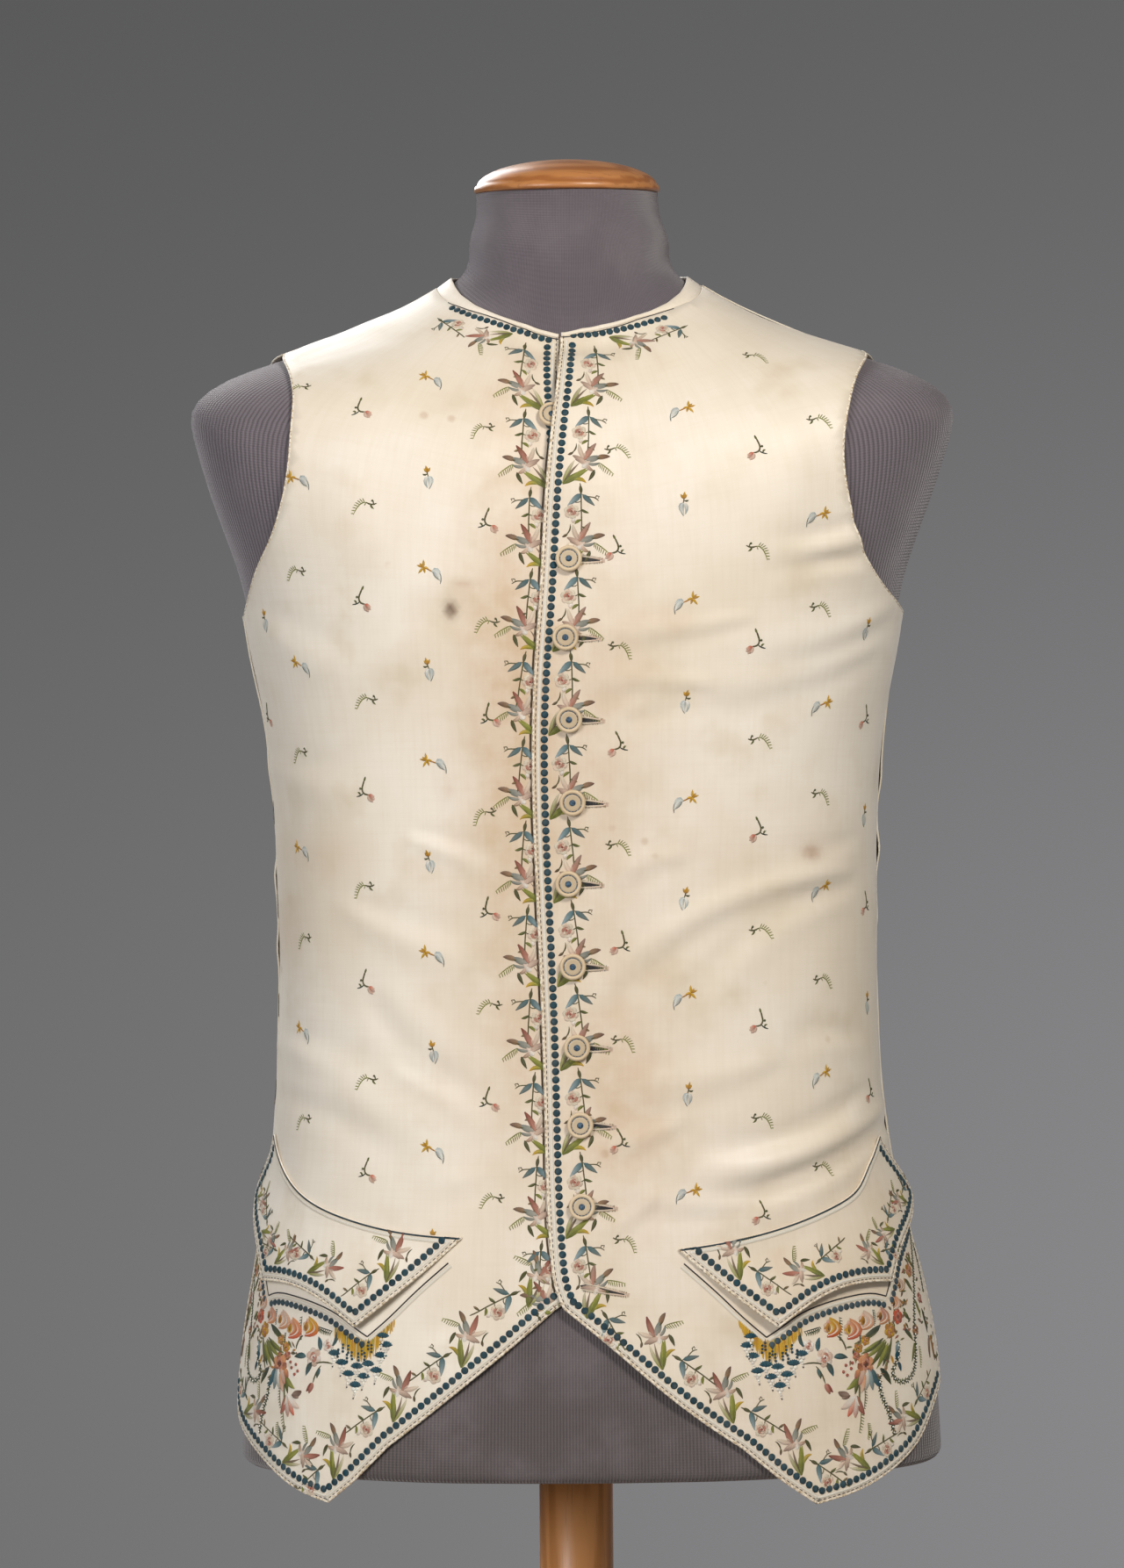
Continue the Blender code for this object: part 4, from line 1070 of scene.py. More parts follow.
# Small flowers. Columns: angle, level, radius, outer, middle and heart dyes.
SPRAY_SMALL = (
    (68.3, 291, 3.7, "gold", "amber", "amber"), (70.6, 298, 3.6, "rose", "coral", "crimson"),
    (51.2, 286, 3.0, "blush", "white", "rose"), (54.2, 279, 4.4, "white", "blush", "rose"),
    (62.4, 273.6, 5.2, "crimson", "peach", "brown"), (61.2, 283.0, 2.6, "gold", "amber", "brown"),
    (62.8, 287, 2.6, "gold", "amber", "amber"), (60.6, 278.5, 2.2, "peach", "rose", "rose"),
    (76.8, 322, 3.4, "pink", "amber", "plum"), (75.2, 289, 2.8, "amber", "plum", "brown"),
    (78.8, 306, 2.6, "blush", "rose", "plum"),
)
# Columns: angle and level of the root, angle and level of the tip, bow, width, dye, tip dye, shape.
SPRAY_LEAVES = (
    (67.0, 286, 62.4, 277.0, 0.8, 2.0, "leaf", "lime", "leaf"),
    (67.2, 285, 63.2, 272.0, 0.6, 2.2, "leaf", "moss", "leaf"),
    (66.6, 287, 61.6, 279.5, 0.8, 1.8, "moss", "leaf", "leaf"),
    (67.6, 284, 64.6, 270.5, 0.4, 2.2, "lime", "leaf", "leaf"),
    (65.6, 286, 62.2, 281.5, 0.8, 1.5, "leaf", "lime", "leaf"),
    (67.9, 283, 66.0, 271.5, 0.2, 2.0, "leaf", "bottle", "leaf"),
    (52.9, 283, 53.6, 290.5, 0.5, 2.2, "teal", "sea", "leaf"),
    (56.0, 279, 58.8, 278.3, 0.6, 2.3, "teal", "bottle", "leaf"),
    (54.4, 276.6, 55.6, 268.5, 0.5, 2.4, "bottle", "teal", "leaf"),
    (49.8, 294, 50.6, 285.0, -1.5, 1.6, "bottle", "teal", "leaf"),
    (62.5, 270.5, 61.8, 259.5, 0.5, 3.2, "white", "grey", "petal"),
    (62.9, 270.5, 63.3, 259.0, 0.2, 2.9, "pale_blue", "slate", "petal"),
    (63.6, 270.5, 65.0, 260.0, -0.6, 3.0, "teal", "sea", "petal"),
    (61.8, 270.5, 60.4, 262.5, 0.6, 3.2, "blush", "pink", "petal"),
    (62.0, 268.0, 60.8, 258.0, 0.4, 2.8, "peach", "blush", "petal"),
    (60.8, 271.0, 59.8, 266.0, 0.4, 2.8, "peach", "rose", "petal"),
    (60.6, 267.5, 58.0, 260.5, 0.9, 2.4, "leaf", "lime", "leaf"),
    (65.4, 270.5, 67.4, 261.0, 0.8, 2.7, "bottle", "moss", "leaf"),
    (60.2, 266, 59.6, 257.5, 0.3, 1.9, "leaf", "moss", "leaf"),
    (60.6, 264, 60.2, 250.0, 0.2, 0.8, "moss", "leaf", "stem"),
    (59.6, 256.5, 56.8, 250.0, 0.9, 3.0, "white", "blush", "petal"),
    (59.6, 256.5, 59.4, 244.5, 0.4, 3.0, "white", "pink", "petal"),
    (59.8, 256.5, 61.2, 246.0, -0.6, 3.0, "pink", "rose", "petal"),
    (59.6, 256.5, 58.0, 245.5, 0.6, 2.8, "blush", "coral", "petal"),
    (59.8, 256.5, 60.4, 250.0, -0.4, 2.6, "white", "cream", "petal"),
    (58.4, 257.5, 56.4, 259.5, 0.6, 2.6, "mauve", "plum", "petal"),
    (58.6, 257.0, 57.0, 255.8, 0.3, 1.5, "plum", "mauve", "petal"),
    (52.6, 273, 53.2, 267.5, 0.5, 1.7, "teal", "moss", "leaf"),
    (54.0, 264.5, 54.8, 258.8, 0.3, 2.2, "pink", "rose", "petal"),
    (54.4, 264.5, 55.4, 259.6, -0.3, 1.5, "rose", "crimson", "petal"),
    (50.0, 276, 54.6, 274.2, 1.4, 0.6, "olive", "moss", "stem"),
    (52.4, 274.6, 54.0, 264.8, 0.8, 0.6, "olive", "moss", "stem"),
    (57.2, 290.5, 58.6, 282.5, 1.2, 0.7, "olive", "moss", "stem"),
    (66.2, 294.4, 62.2, 288.4, 0.8, 2.6, "bottle", "moss", "leaf"),
    (65.8, 292.4, 62.8, 287.4, 0.5, 1.0, "moss", "leaf", "leaf"),
    (70.0, 284, 69.2, 278.0, 0.4, 2.4, "pale_blue", "teal", "leaf"),
    (69.4, 279, 69.4, 273.5, 0.3, 2.4, "sea", "ink", "leaf"),
    (69.6, 273, 70.0, 267.5, 0.3, 1.8, "ink", "sea", "leaf"),
    (68.0, 277, 68.4, 272.0, 0.3, 1.3, "amber", "gold", "leaf"),
    (68.6, 288, 66.4, 268.5, 0.6, 1.3, "moss", "olive", "leaf"),
    (72.2, 300, 73.8, 295.0, 0.4, 2.0, "leaf", "bottle", "leaf"),
    (71.8, 291, 74.0, 283.5, 0.6, 2.0, "bottle", "leaf", "leaf"),
    (74.6, 318, 76.4, 310.0, 0.5, 2.0, "moss", "leaf", "leaf"),
    (77.0, 330, 79.4, 321.0, 0.5, 1.9, "leaf", "moss", "leaf"),
    (76.6, 306, 77.8, 295.0, 0.5, 1.7, "leaf", "lime", "leaf"),
    (78.8, 300, 79.6, 286.0, 0.6, 1.9, "moss", "bottle", "leaf"),
    (80.0, 284, 79.0, 272.0, -0.8, 2.2, "mauve", "plum", "petal"),
    (80.6, 284, 81.0, 270.0, 0.4, 1.9, "amber", "brown", "petal"),
    (74.2, 282, 73.0, 272.0, 0.5, 1.6, "leaf", "moss", "leaf"),
)
SPRAY_FERNS = (
    (60.6, 250, 60.0, 236, 2.6, "leaf"), (61.8, 241, 61.6, 232, 2.4, "lime"),
    (50.6, 294.0, 54.0, 296.2, 2.6, "bottle"), (53.8, 295.0, 51.0, 292.6, 2.2, "bottle"),
    (75.6, 280, 75.2, 268, 2.2, "lime"), (57.9, 301, 57.5, 288, 2.2, "bottle"),
    (64.9, 303.5, 64.7, 295, 2.2, "teal"), (61.6, 291, 61.4, 284, 1.8, "bottle"),
    (61.6, 262, 61.2, 249, 2.0, "moss"),
)
GARLANDS = (
    ((69.9, 285), (69.4, 274), (68.0, 266), (69.2, 262), (72.0, 263), (74.0, 272), (75.2, 293), (77.4, 312),
     (80.2, 329), (83.6, 343)),
    ((83.0, 336), (82.4, 322), (81.6, 308)), ((65.0, 266), (65.2, 254), (66.0, 248), (66.8, 239), (67.2, 233)),
)
# Fringe and tassels below the pocket's point. Columns: angle, level.
TASSELS = (
    (40.0, 293), (39.2, 288), (40.2, 282), (42.8, 277), (45.1, 275.4), (48.2, 277), (49.8, 282), (41.0, 273.6),
    (43.6, 270), (46.8, 271), (45.3, 265),
)
BEADS = (
    (42.2, 287.5), (43.6, 283), (44.8, 282.5), (46.2, 283), (47.2, 281.5), (48.0, 287), (49.0, 284), (42.9, 289),
    (44.2, 286), (46.9, 286.5),
)


def swirl(work, frame_, side, radius, outer, mid, heart):
    """A large rose seen from one side: striped crescents lapped round an oval heart."""
    petals = ((0.98, 0.26, outer), (0.84, 0.24, "white"), (0.72, 0.26, outer), (0.6, 0.24, mid),
              (0.46, 0.28, "white"))
    for k, (far, width, dye) in enumerate(petals):
        start, end = np.radians((-118 + 9 * k, 96 - 6 * k))
        middle = (start + end) / 2

        def at(angle, reach, far=far, k=k):
            across = (math.cos(angle) * far * reach - 0.10 * k) * side
            return np.array([across, math.sin(angle) * far * reach]) * radius

        work.leaf(frame_, at(start, 1.0), at(middle, 1.04), at(end, 1.0), radius * width * 1.5, dye, mid, 0.5, 9,
                  "petal")
    for dx, dy, width, dye in ((-0.78, 0.3, 0.5, mid), (-0.74, -0.3, 0.5, outer), (-0.3, 0.78, 0.46, outer)):
        work.leaf(frame_, (-0.16 * radius * side, 0), np.array((dx * side, dy)) * radius * 0.5,
                  np.array((dx * side, dy)) * radius, radius * width, dye, "blush", 0.45, 6, "petal")
    for dy, width, dye in ((0.0, 0.62, heart), (0.1, 0.3, "brown")):
        work.leaf(frame_, (-0.26 * radius * side, (-0.42 + dy) * radius), (-0.3 * radius * side, 0),
                  (-0.26 * radius * side, (0.42 - dy) * radius), radius * width, dye, "amber", 0.7 + dy, 6, "petal")


def pocket_place(side, angle, level):
    return (angle, level) if side > 0 else (-angle - RIGHT_POCKET_TURN, level + 1.0)


def pocket_frame(work, side, angle, level):
    return upright(work.panel, *pocket_place(side, angle, float(level)), side)


def local(frame_, point):
    origin, ahead, inward = frame_
    return np.array([np.dot(point - origin, ahead), np.dot(point - origin, inward)])


def tassel(work, f):
    """A scalloped silk tassel top with white beads and a tapering string."""
    for angle in np.radians((14, 36, 58, 80, 100, 122, 144, 166)):
        way = np.array((math.cos(angle), math.sin(angle)))
        tip = way * (4.1, 3.0) + (0, -0.8)
        work.leaf(f, (0, -1.3), tip / 2 + (0, -0.2), tip, 1.9, random.choice(("sea", "ink", "ink")), "sea", 0.5, 4,
                  "petal")
    for place, width, dye in (((-1.2, -2.2), 2.2, "white"), ((1.0, -2.3), 2.2, "white"), ((-0.1, -3.9), 2.0, "white"),
                              ((0.4, -5.4), 1.5, "white"), ((0.6, -6.6), 1.1, "white"), ((0.9, -7.6), 0.9, "dark")):
        work.dot(f, place, width, dye, 0.6, 7)


def garland(work, side, rows):
    """A chain of small dark leaves and ringed white beads along a line."""
    line = smooth_line([pocket_place(side, *row) for row in rows], 3.0)
    run = cloth_run(work.panel, line, 1.0)
    work.ribbon(run, 0.35, 0.2, "moss")
    for k, f in enumerate(work.along(run, 1.7, 0.5)):
        way = 1 if k % 2 else -1
        for reach in (way * 2.1, -way * 1.5):
            work.leaf(f, (0, 0), (0.5, reach * 0.5), (0.8, reach), 0.75, random.choice(("bottle", "bottle", "leaf")),
                      "moss", 0.3, 3)
        if k % 2:
            work.dot(f, (0.8, 0), 2.3, "bottle", 0.45, 8)
            work.dot(f, (0.8, 0), 1.3, "white", 0.8, 7)


def embroider_pocket(work, side):
    """The second edge that shows below a flap, with the spray and tassels sewn under it."""
    work.fuller = 1.0
    for rows, dotted in ((POCKET_INNER, False), (POCKET_LOWER, True), (POCKET_OUTER, True)):
        rows = [pocket_place(side, *row) for row in rows]
        line = smooth_line(rows, 3.0)
        down = cloth_run(work.panel, line, 1.0, -side)
        work.ribbon(down, 0.42, 0.2, "dark")
        work.ribbon(shifted(down, 2.1), 1.15, 0.35, "white", "cream")
        if dotted:
            for f in work.along(shifted(down, 5.2), 4.0, 0.6):
                work.dot(f, (0, 0), 3.8, "slate_teal", 0.8)
    for angle in np.arange(37.8, 50.2, 0.3):
        edge = np.interp(angle, (37.8, 43.2, 46.2, 50.2), (303.5, 290.5, 292.0, 297.5))
        length = 4.5 + 8.0 * math.sin(math.pi * (angle - 37.2) / 13.6) + random.uniform(-1.5, 1.5)
        f = pocket_frame(work, side, angle, edge)
        work.leaf(f, (0, 0), (random.uniform(-0.3, 0.3), -length / 2), (random.uniform(-0.5, 0.5), -length), 1.0,
                  random.choice(("gold", "gold", "gold", "amber", "lime")), "gold", 0.4, 4, "stem")
    for angle, level in BEADS:
        f = pocket_frame(work, side, angle, level)
        for drop in (0.0, -1.9, -3.8):
            work.dot(f, (random.uniform(-0.2, 0.2), drop), 1.7, "ink", 0.7, 6)
    for place in TASSELS:
        tassel(work, pocket_frame(work, side, *place))
    work.fuller = 1.5
    for rows in GARLANDS:
        garland(work, side, rows)
    for a0, z0, a1, z1, bow, width, dye, tip, shape in SPRAY_LEAVES:
        f = pocket_frame(work, side, a0, z0)
        end = local(f, pocket_frame(work, side, a1, z1)[0])
        across = np.array((-end[1], end[0])) / max(np.linalg.norm(end), 1e-6)
        work.leaf(f, (0, 0), end / 2 + across * bow, end, width, dye, tip, 0.45, 6, shape)
    for a0, z0, a1, z1, length, dye in SPRAY_FERNS:
        f = pocket_frame(work, side, a0, z0)
        end = local(f, pocket_frame(work, side, a1, z1)[0])
        fern(work, f, (0, 0), end / 2 + (0.6, 0), end, length, dye, 9)
    for angle, level, spread, rise, count in SPRAY_FILL:
        for _ in range(count):
            place = angle + random.uniform(-spread, spread), level + random.uniform(-rise, rise)
            f = pocket_frame(work, side, *place)
            turn = random.uniform(0.0, math.tau)
            tip = np.array((math.cos(turn), math.sin(turn))) * random.uniform(2.4, 5.0)
            dye = random.choice(("moss", "bottle", "leaf", "olive", "moss", "plum", "amber", "rose"))
            work.leaf(f, (0, 0), tip / 2 + (0.3, 0.2), tip, random.uniform(0.7, 1.4), dye,
                      "leaf" if dye == "moss" else "fawn", 0.4, 4)
    for angle, level, radius, *dyes in SPRAY_SMALL:
        rose(work, pocket_frame(work, side, angle, level), (0, 0), radius, *dyes)
    for angle, level, radius, *dyes in SPRAY_ROSES:
        swirl(work, pocket_frame(work, side, angle, level), side, radius, *dyes)
    work.fuller = 1.0
    for angle, level in ((59.2, 272), (58.3, 268.5), (59.6, 275), (58.2, 274), (57.6, 270.5)):
        work.dot(pocket_frame(work, side, angle, level), (0, 0), 2.0, "rose", 0.7, 7)


# ---- trims along the edges --------------------------------------------------------------

def edge_trim(work, lines, beside=None):
    """Running stitch, white band and dots inside the named edges."""
    for f in work.along(inset_run(work.panel, lines, DASH_IN), DASH_PITCH, 0.8):
        work.leaf(f, (-1.05, 0), (0, 0.05), (1.05, 0), 0.55, "dark", None, 0.22, 3, "stem")
    work.ribbon(inset_run(work.panel, lines, BAND_IN), BAND_WIDTH / 2, 0.35, "white", "cream")
    run = inset_run(work.panel, lines, DOT_IN, beside)
    length = run_lengths(run[0])[-1]
    for f in work.along(run, length / max(1, round(length / DOT_PITCH))):
        work.dot(f, (0.0, 0.0), DOT_WIDTH, "ink")


def edge_cord(panel, name, lines, slot, radius):
    """The turned and whipped edge: a lumpy roll along the named edges."""
    points, faces = [], []
    step, sides = 1.6, 6
    for line in lines:
        run, ahead, inward, normals = edge_run(panel, line, step)
        base = len(points)
        for i in range(len(run)):
            lump = radius * (1 + 0.16 * math.sin(i * 2.4) + random.uniform(-0.05, 0.05))
            centre = run[i] - normals[i] * (WALL / 2) + inward[i] * 0.15
            for k in range(sides):
                angle = math.tau * k / sides
                way = inward[i] * math.cos(angle) + normals[i] * math.sin(angle)
                points.append(centre + way * lump)
        for i in range(len(run) - 1):
            for k in range(sides):
                n = (k + 1) % sides
                a, b = base + i * sides, base + (i + 1) * sides
                faces.append((a + k, b + k, b + n, a + n))
        faces.append(tuple(base + k for k in range(sides)))
        last = base + (len(run) - 1) * sides
        faces.append(tuple(last + k for k in reversed(range(sides))))
    mesh = new_mesh(name, points, faces)
    bm = bmesh.new()
    bm.from_mesh(mesh)
    bmesh.ops.recalc_face_normals(bm, faces=bm.faces)
    bm.to_mesh(mesh)
    bm.free()
    return add_piece(name, mesh, slot)


# ---- buttons ----------------------------------------------------------------------------

def angle_at(distance, level):
    angles = np.linspace(-30.0, 30.0, 241)
    points = body_point(angles, float(level))
    run = run_lengths(points)
    run -= run[len(run) // 2]
    return float(np.interp(distance, run, angles))


def polar(reach, angle, rise):
    """A point in metres at a reach and an angle round Z, and a rise, in millimetres."""
    return reach * math.cos(angle) * MM, reach * math.sin(angle) * MM, rise * MM


def turned_mesh(name, profile, sides):
    """A closed mesh turned round Z from a half section that runs from its top to its back."""
    bm = bmesh.new()
    rings = []
    for x, z in profile:
        count = sides if x > 1e-6 else 1
        rings.append([bm.verts.new(polar(x, math.tau * k / sides, z)) for k in range(count)])
    for high, low in zip(rings[:-1], rings[1:]):
        for k in range(sides):
            n = (k + 1) % sides
            corners = [high[k % len(high)], low[k % len(low)], low[n % len(low)], high[n % len(high)]]
            seen = list(dict.fromkeys(corners))
            if len(seen) > 2:
                bm.faces.new(seen)
    bmesh.ops.recalc_face_normals(bm, faces=bm.faces)
    mesh = bpy.data.meshes.new(name)
    bm.to_mesh(mesh)
    bm.free()
    mesh.shade_smooth()
    mesh.set_sharp_from_angle(angle=math.radians(50.0))
    return mesh


def button_profile():
    radius, thick = BUTTON_DIAMETER / 2, BUTTON_THICKNESS
    dish = [(radius * 0.62 * t, thick * (0.74 + 0.03 * t)) for t in np.linspace(0.0, 1.0, 6)]
    groove = [(radius * 0.66, thick * 0.70), (radius * 0.69, thick * 0.72)]
    rim = [(radius * (0.84 + 0.155 * math.sin(a)), thick * (0.62 + 0.38 * math.cos(a)))
           for a in np.linspace(-1.25, 1.5, 9)]
    back = [(radius, thick * 0.45), (radius * 0.93, thick * 0.12), (radius * 0.8, 0.0), (0.0, 0.0)]
    return dish + groove + rim + back


def make_button(number, place):
    """A disc mould covered in satin, with a stitched ring and centre."""
    distance, level = place
    angle = angle_at(distance, level)
    panel = panels["front_right"] if number == 1 else panels["front_left"]
    point, normal = on_panel(panel, np.array(angle), np.array(float(level)))
    name = "button_%d_covered" % number
    mesh = turned_mesh(name, button_profile(), 40)
    obj = add_piece(name, mesh, "button_satin", "button_%d" % number)
    for material in ("button", "button_silk", "button_middle"):
        obj.data.materials.append(materials[material])
    for face in mesh.polygons:
        if face.center.z > 0 and face.center.xy.length < BUTTON_DIAMETER * 0.33 * MM:
            face.material_index = 2
    turn = Vector((0, 0, 1)).rotation_difference(Vector(normal)).to_matrix().to_4x4()
    spin = Matrix.Rotation(random.uniform(-0.5, 0.5), 4, "Z")
    settle_in = -0.35 if number != 1 else 0.3
    matrix = Matrix.Translation(Vector(point + normal * (BUTTON_CLEARANCE + settle_in)) * MM) @ turn @ spin
    stitch_button(mesh)
    mesh.transform(matrix)


def silk_face(bm, corners):
    """A face of a button's stitches, in its silk material."""
    face = bm.faces.new(corners)
    face.material_index = 1
    face.smooth = True


def stitch_button(mesh):
    """Adds the dark ring of back stitches and the blue centre to a button's face."""
    bm = bmesh.new()
    bm.from_mesh(mesh)
    radius, thick = BUTTON_DIAMETER / 2, BUTTON_THICKNESS
    ring, stitches = radius * 0.665, 17
    for k in range(stitches):
        middle = math.tau * (k + random.uniform(-0.06, 0.06)) / stitches
        half = math.pi / stitches * 0.84
        rows = []
        for t in np.linspace(-half, half, 4):
            rows.append([bm.verts.new(polar(ring + w, middle + t, thick * 0.79 + h))
                         for w, h in ((-0.26, -0.1), (0.0, 0.16), (0.26, -0.1))])
        for a, b in zip(rows[:-1], rows[1:]):
            for i in range(2):
                silk_face(bm, (a[i], a[i + 1], b[i + 1], b[i]))
    sides, face_height = 14, thick * 0.76
    centre = bm.verts.new((0, 0, (face_height + 0.75) * MM))
    inner = None
    for reach, rise in ((0.95, 0.66), (1.55, 0.42), (1.8, -0.05)):
        loop = [bm.verts.new(polar(reach, math.tau * k / sides, face_height + rise)) for k in range(sides)]
        for k in range(sides):
            n = (k + 1) % sides
            silk_face(bm, (inner[k], loop[k], loop[n], inner[n]) if inner else (centre, loop[k], loop[n]))
        inner = loop
    bm.to_mesh(mesh)
    bm.free()


def buttonhole(work, frame_, length, start=0.0):
    """A worked buttonhole: a slit pulled open at the button, its opening a flat patch of painted shade, between two
    rows of purl stitches.
    """
    far = start + length
    # Painted shade: the open slit is a flat patch of dark silk.
    work.leaf(frame_, (0.15, start - 2.6), (0.05, start + length * 0.3), (0, far - 1.6), 3.0, "dark", None, 0.02, 8)
    for side in (-1, 1):
        work.leaf(frame_, (side * 1.7, start - 1.5), (side * 1.5, start + length * 0.4), (side * 0.5, far - 0.6),
                  1.1, "cream", "blush", 0.55, 8, "stem")
    for k in np.arange(start - 0.5, far, 0.62):
        part = (k - start) / length
        slit = 1.75 - 1.3 * part
        for side in (-1, 1):
            dye = random.choice(("tan", "cream", "cream", "grey", "fawn"))
            reach = slit + 1.2 + random.uniform(-0.15, 0.15)
            work.leaf(frame_, (side * (slit - 0.3), k), (side * (slit + reach) / 2, k + 0.1),
                      (side * reach, k + 0.25), 0.55, dye, None, 0.5, 3, "stem")
    for a in (-0.9, -0.3, 0.3, 0.9):
        work.leaf(frame_, (a, far - 0.9), (a, far + 0.2), (a, far + 1.2), 0.6, "blush", None, 0.45, 3, "stem")


# ---- pieces -----------------------------------------------------------------------------

panels = {}
materials = {}


def add_piece(name, mesh, slot, *nodes):
    obj = bpy.data.objects.new(name, mesh)
    bpy.context.scene.collection.objects.link(obj)
    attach(obj, "root")
    if nodes:
        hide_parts(*nodes)
    return obj


# ---- materials --------------------------------------------------------------------------

def add_node(tree, kind, settings=None, links=None):
    """Adds a node; links maps its input sockets to other nodes' output sockets."""
    node = tree.nodes.new(kind)
    for key, value in (settings or {}).items():
        if hasattr(node, key):
            setattr(node, key, value)
        else:
            node.inputs[key].default_value = value
    for key, source in (links or {}).items():
        tree.links.new(source, node.inputs[key])
    return node


def new_material(name, **sockets):
    """A material with its Principled shader; sockets holds the shader's constant values."""
    material = bpy.data.materials.new(name)
    material.use_nodes = True
    shader = material.node_tree.nodes["Principled BSDF"]
    for key, value in sockets.items():
        shader.inputs[key.replace("_", " ")].default_value = value
    materials[name] = material
    return material, material.node_tree


def space_of(tree):
    return add_node(tree, "ShaderNodeTexCoord").outputs["Object"]


def uv_of(tree, name="cut"):
    return add_node(tree, "ShaderNodeUVMap", {"uv_map": name}).outputs[0]


def point_colour(tree, name):
    return add_node(tree, "ShaderNodeAttribute", {"attribute_name": name}).outputs["Color"]


def finish_material(material, tone, height=None, strength=0.0, distance=0.0):
    """Joins a material's tone, and a bump from a height, to its shader."""
    tree = material.node_tree
    shader = tree.nodes["Principled BSDF"]
    tree.links.new(tone, shader.inputs["Base Color"])
    if height:
        bump = add_node(tree, "ShaderNodeBump", {"Strength": strength, "Distance": distance}, {"Height": height})
        tree.links.new(bump.outputs[0], shader.inputs["Normal"])
    return material


def rgba(hex_colour):
    return (*colour(hex_colour), 1.0)


def mixed(tree, amount, first, second, blend="MIX"):
    """Mixes two colours, each a hex text or a socket, by a socket or a number."""
    node = add_node(tree, "ShaderNodeMix", {"data_type": "RGBA", "blend_type": blend})
    for place, value in ((6, first), (7, second)):
        if isinstance(value, str):
            node.inputs[place].default_value = rgba(value)
        else:
            tree.links.new(value, node.inputs[place])
    if isinstance(amount, (int, float)):
        node.inputs[0].default_value = amount
    else:
        tree.links.new(amount, node.inputs[0])
    return node.outputs[2]


def ramp(tree, source, low, high, bottom=0.0, top=1.0):
    """Maps a socket's range low..high to bottom..top, smoothly."""
    node = add_node(tree, "ShaderNodeMapRange", {
        "interpolation_type": "SMOOTHSTEP", "From Min": low, "From Max": high, "To Min": bottom, "To Max": top,
    }, {"Value": source})
    return node.outputs["Result"]


def times(tree, first, second, operation="MULTIPLY"):
    node = add_node(tree, "ShaderNodeMath", {"operation": operation})
    for place, value in ((0, first), (1, second)):
        if isinstance(value, (int, float)):
            node.inputs[place].default_value = value
        else:
            tree.links.new(value, node.inputs[place])
    return node.outputs[0]


def noise(tree, space, scale, detail=3.0, roughness=0.55, stretch=(1.0, 1.0, 1.0)):
    vector = add_node(tree, "ShaderNodeMapping", {"Scale": stretch}, {"Vector": space}).outputs[0]
    return add_node(tree, "ShaderNodeTexNoise", {"Scale": scale, "Detail": detail, "Roughness": roughness},
                    {"Vector": vector}).outputs["Fac"]


def stripes(tree, space, spacing_mm, direction="X", distortion=0.0):
    """A wave across one way, one period in spacing_mm millimetres."""
    return add_node(tree, "ShaderNodeTexWave", {
        "bands_direction": direction, "Scale": math.tau / 20 / (spacing_mm * MM),
        "Distortion": distortion, "Detail": 1.0,
    }, {"Vector": space}).outputs["Fac"]


def silk_satin(name, light, mid, shade, attribute=True):
    """Aged silk satin, woven: warp floats give soft upright streaks and a broad sheen."""
    material, tree = new_material(name, Roughness=0.46, Sheen_Weight=0.22, Sheen_Roughness=0.4,
                                          Specular_IOR_Level=0.42, Anisotropic=0.35)
    space = space_of(tree)
    cut = uv_of(tree)
    tone = mixed(tree, ramp(tree, noise(tree, space, 9.0, 4.0), 0.3, 0.72), mid, light)
    tone = mixed(tree, ramp(tree, noise(tree, space, 23.0, 3.0), 0.52, 0.82, 0.0, 0.5), tone, shade)
    # Warp threads are 0.1 mm apart; streaks of several of them are what shows.
    streak = noise(tree, cut, 420.0, 2.0, 0.6, (1.0, 0.05, 1.0))
    cross = noise(tree, cut, 420.0, 2.0, 0.6, (0.05, 1.0, 1.0))
    tone = mixed(tree, ramp(tree, streak, 0.35, 0.75, 0.0, 0.10), tone, shade)
    tone = mixed(tree, ramp(tree, cross, 0.4, 0.8, 0.0, 0.07), tone, shade)
    if attribute:
        apart = add_node(tree, "ShaderNodeSeparateColor", {}, {"Color": point_colour(tree, "age_and_shade")}).outputs
        mottle = ramp(tree, noise(tree, space, 60.0, 4.0), 0.3, 0.7, 0.6, 1.0)
        # Tan: yellowing of the silk, partly painted shade near the centre front and low on the wearer's left front.
        tone = mixed(tree, times(tree, apart[0], mottle), tone, "#b98a4e")
        tone = mixed(tree, times(tree, apart[1], mottle), tone, "#8c4f22")
        tone = mixed(tree, apart[2], tone, "#4d3a26")
    # Foxing: small pale brown spots a few millimetres wide.
    spots = add_node(tree, "ShaderNodeTexVoronoi", {"Scale": 46.0}, {"Vector": space}).outputs["Distance"]
    rare = ramp(tree, noise(tree, space, 17.0, 2.0), 0.56, 0.66)
    tone = mixed(tree, times(tree, times(tree, ramp(tree, spots, 0.16, 0.05), rare), 0.3), tone, "#a4733c")
    fine = times(tree, stripes(tree, cut, 0.55, "X"), 0.5)
    height = times(tree, times(tree, fine, streak, "ADD"), times(tree, stripes(tree, cut, 0.8, "Y"), 0.25), "ADD")
    return finish_material(material, tone, height, 0.3, 0.00012)


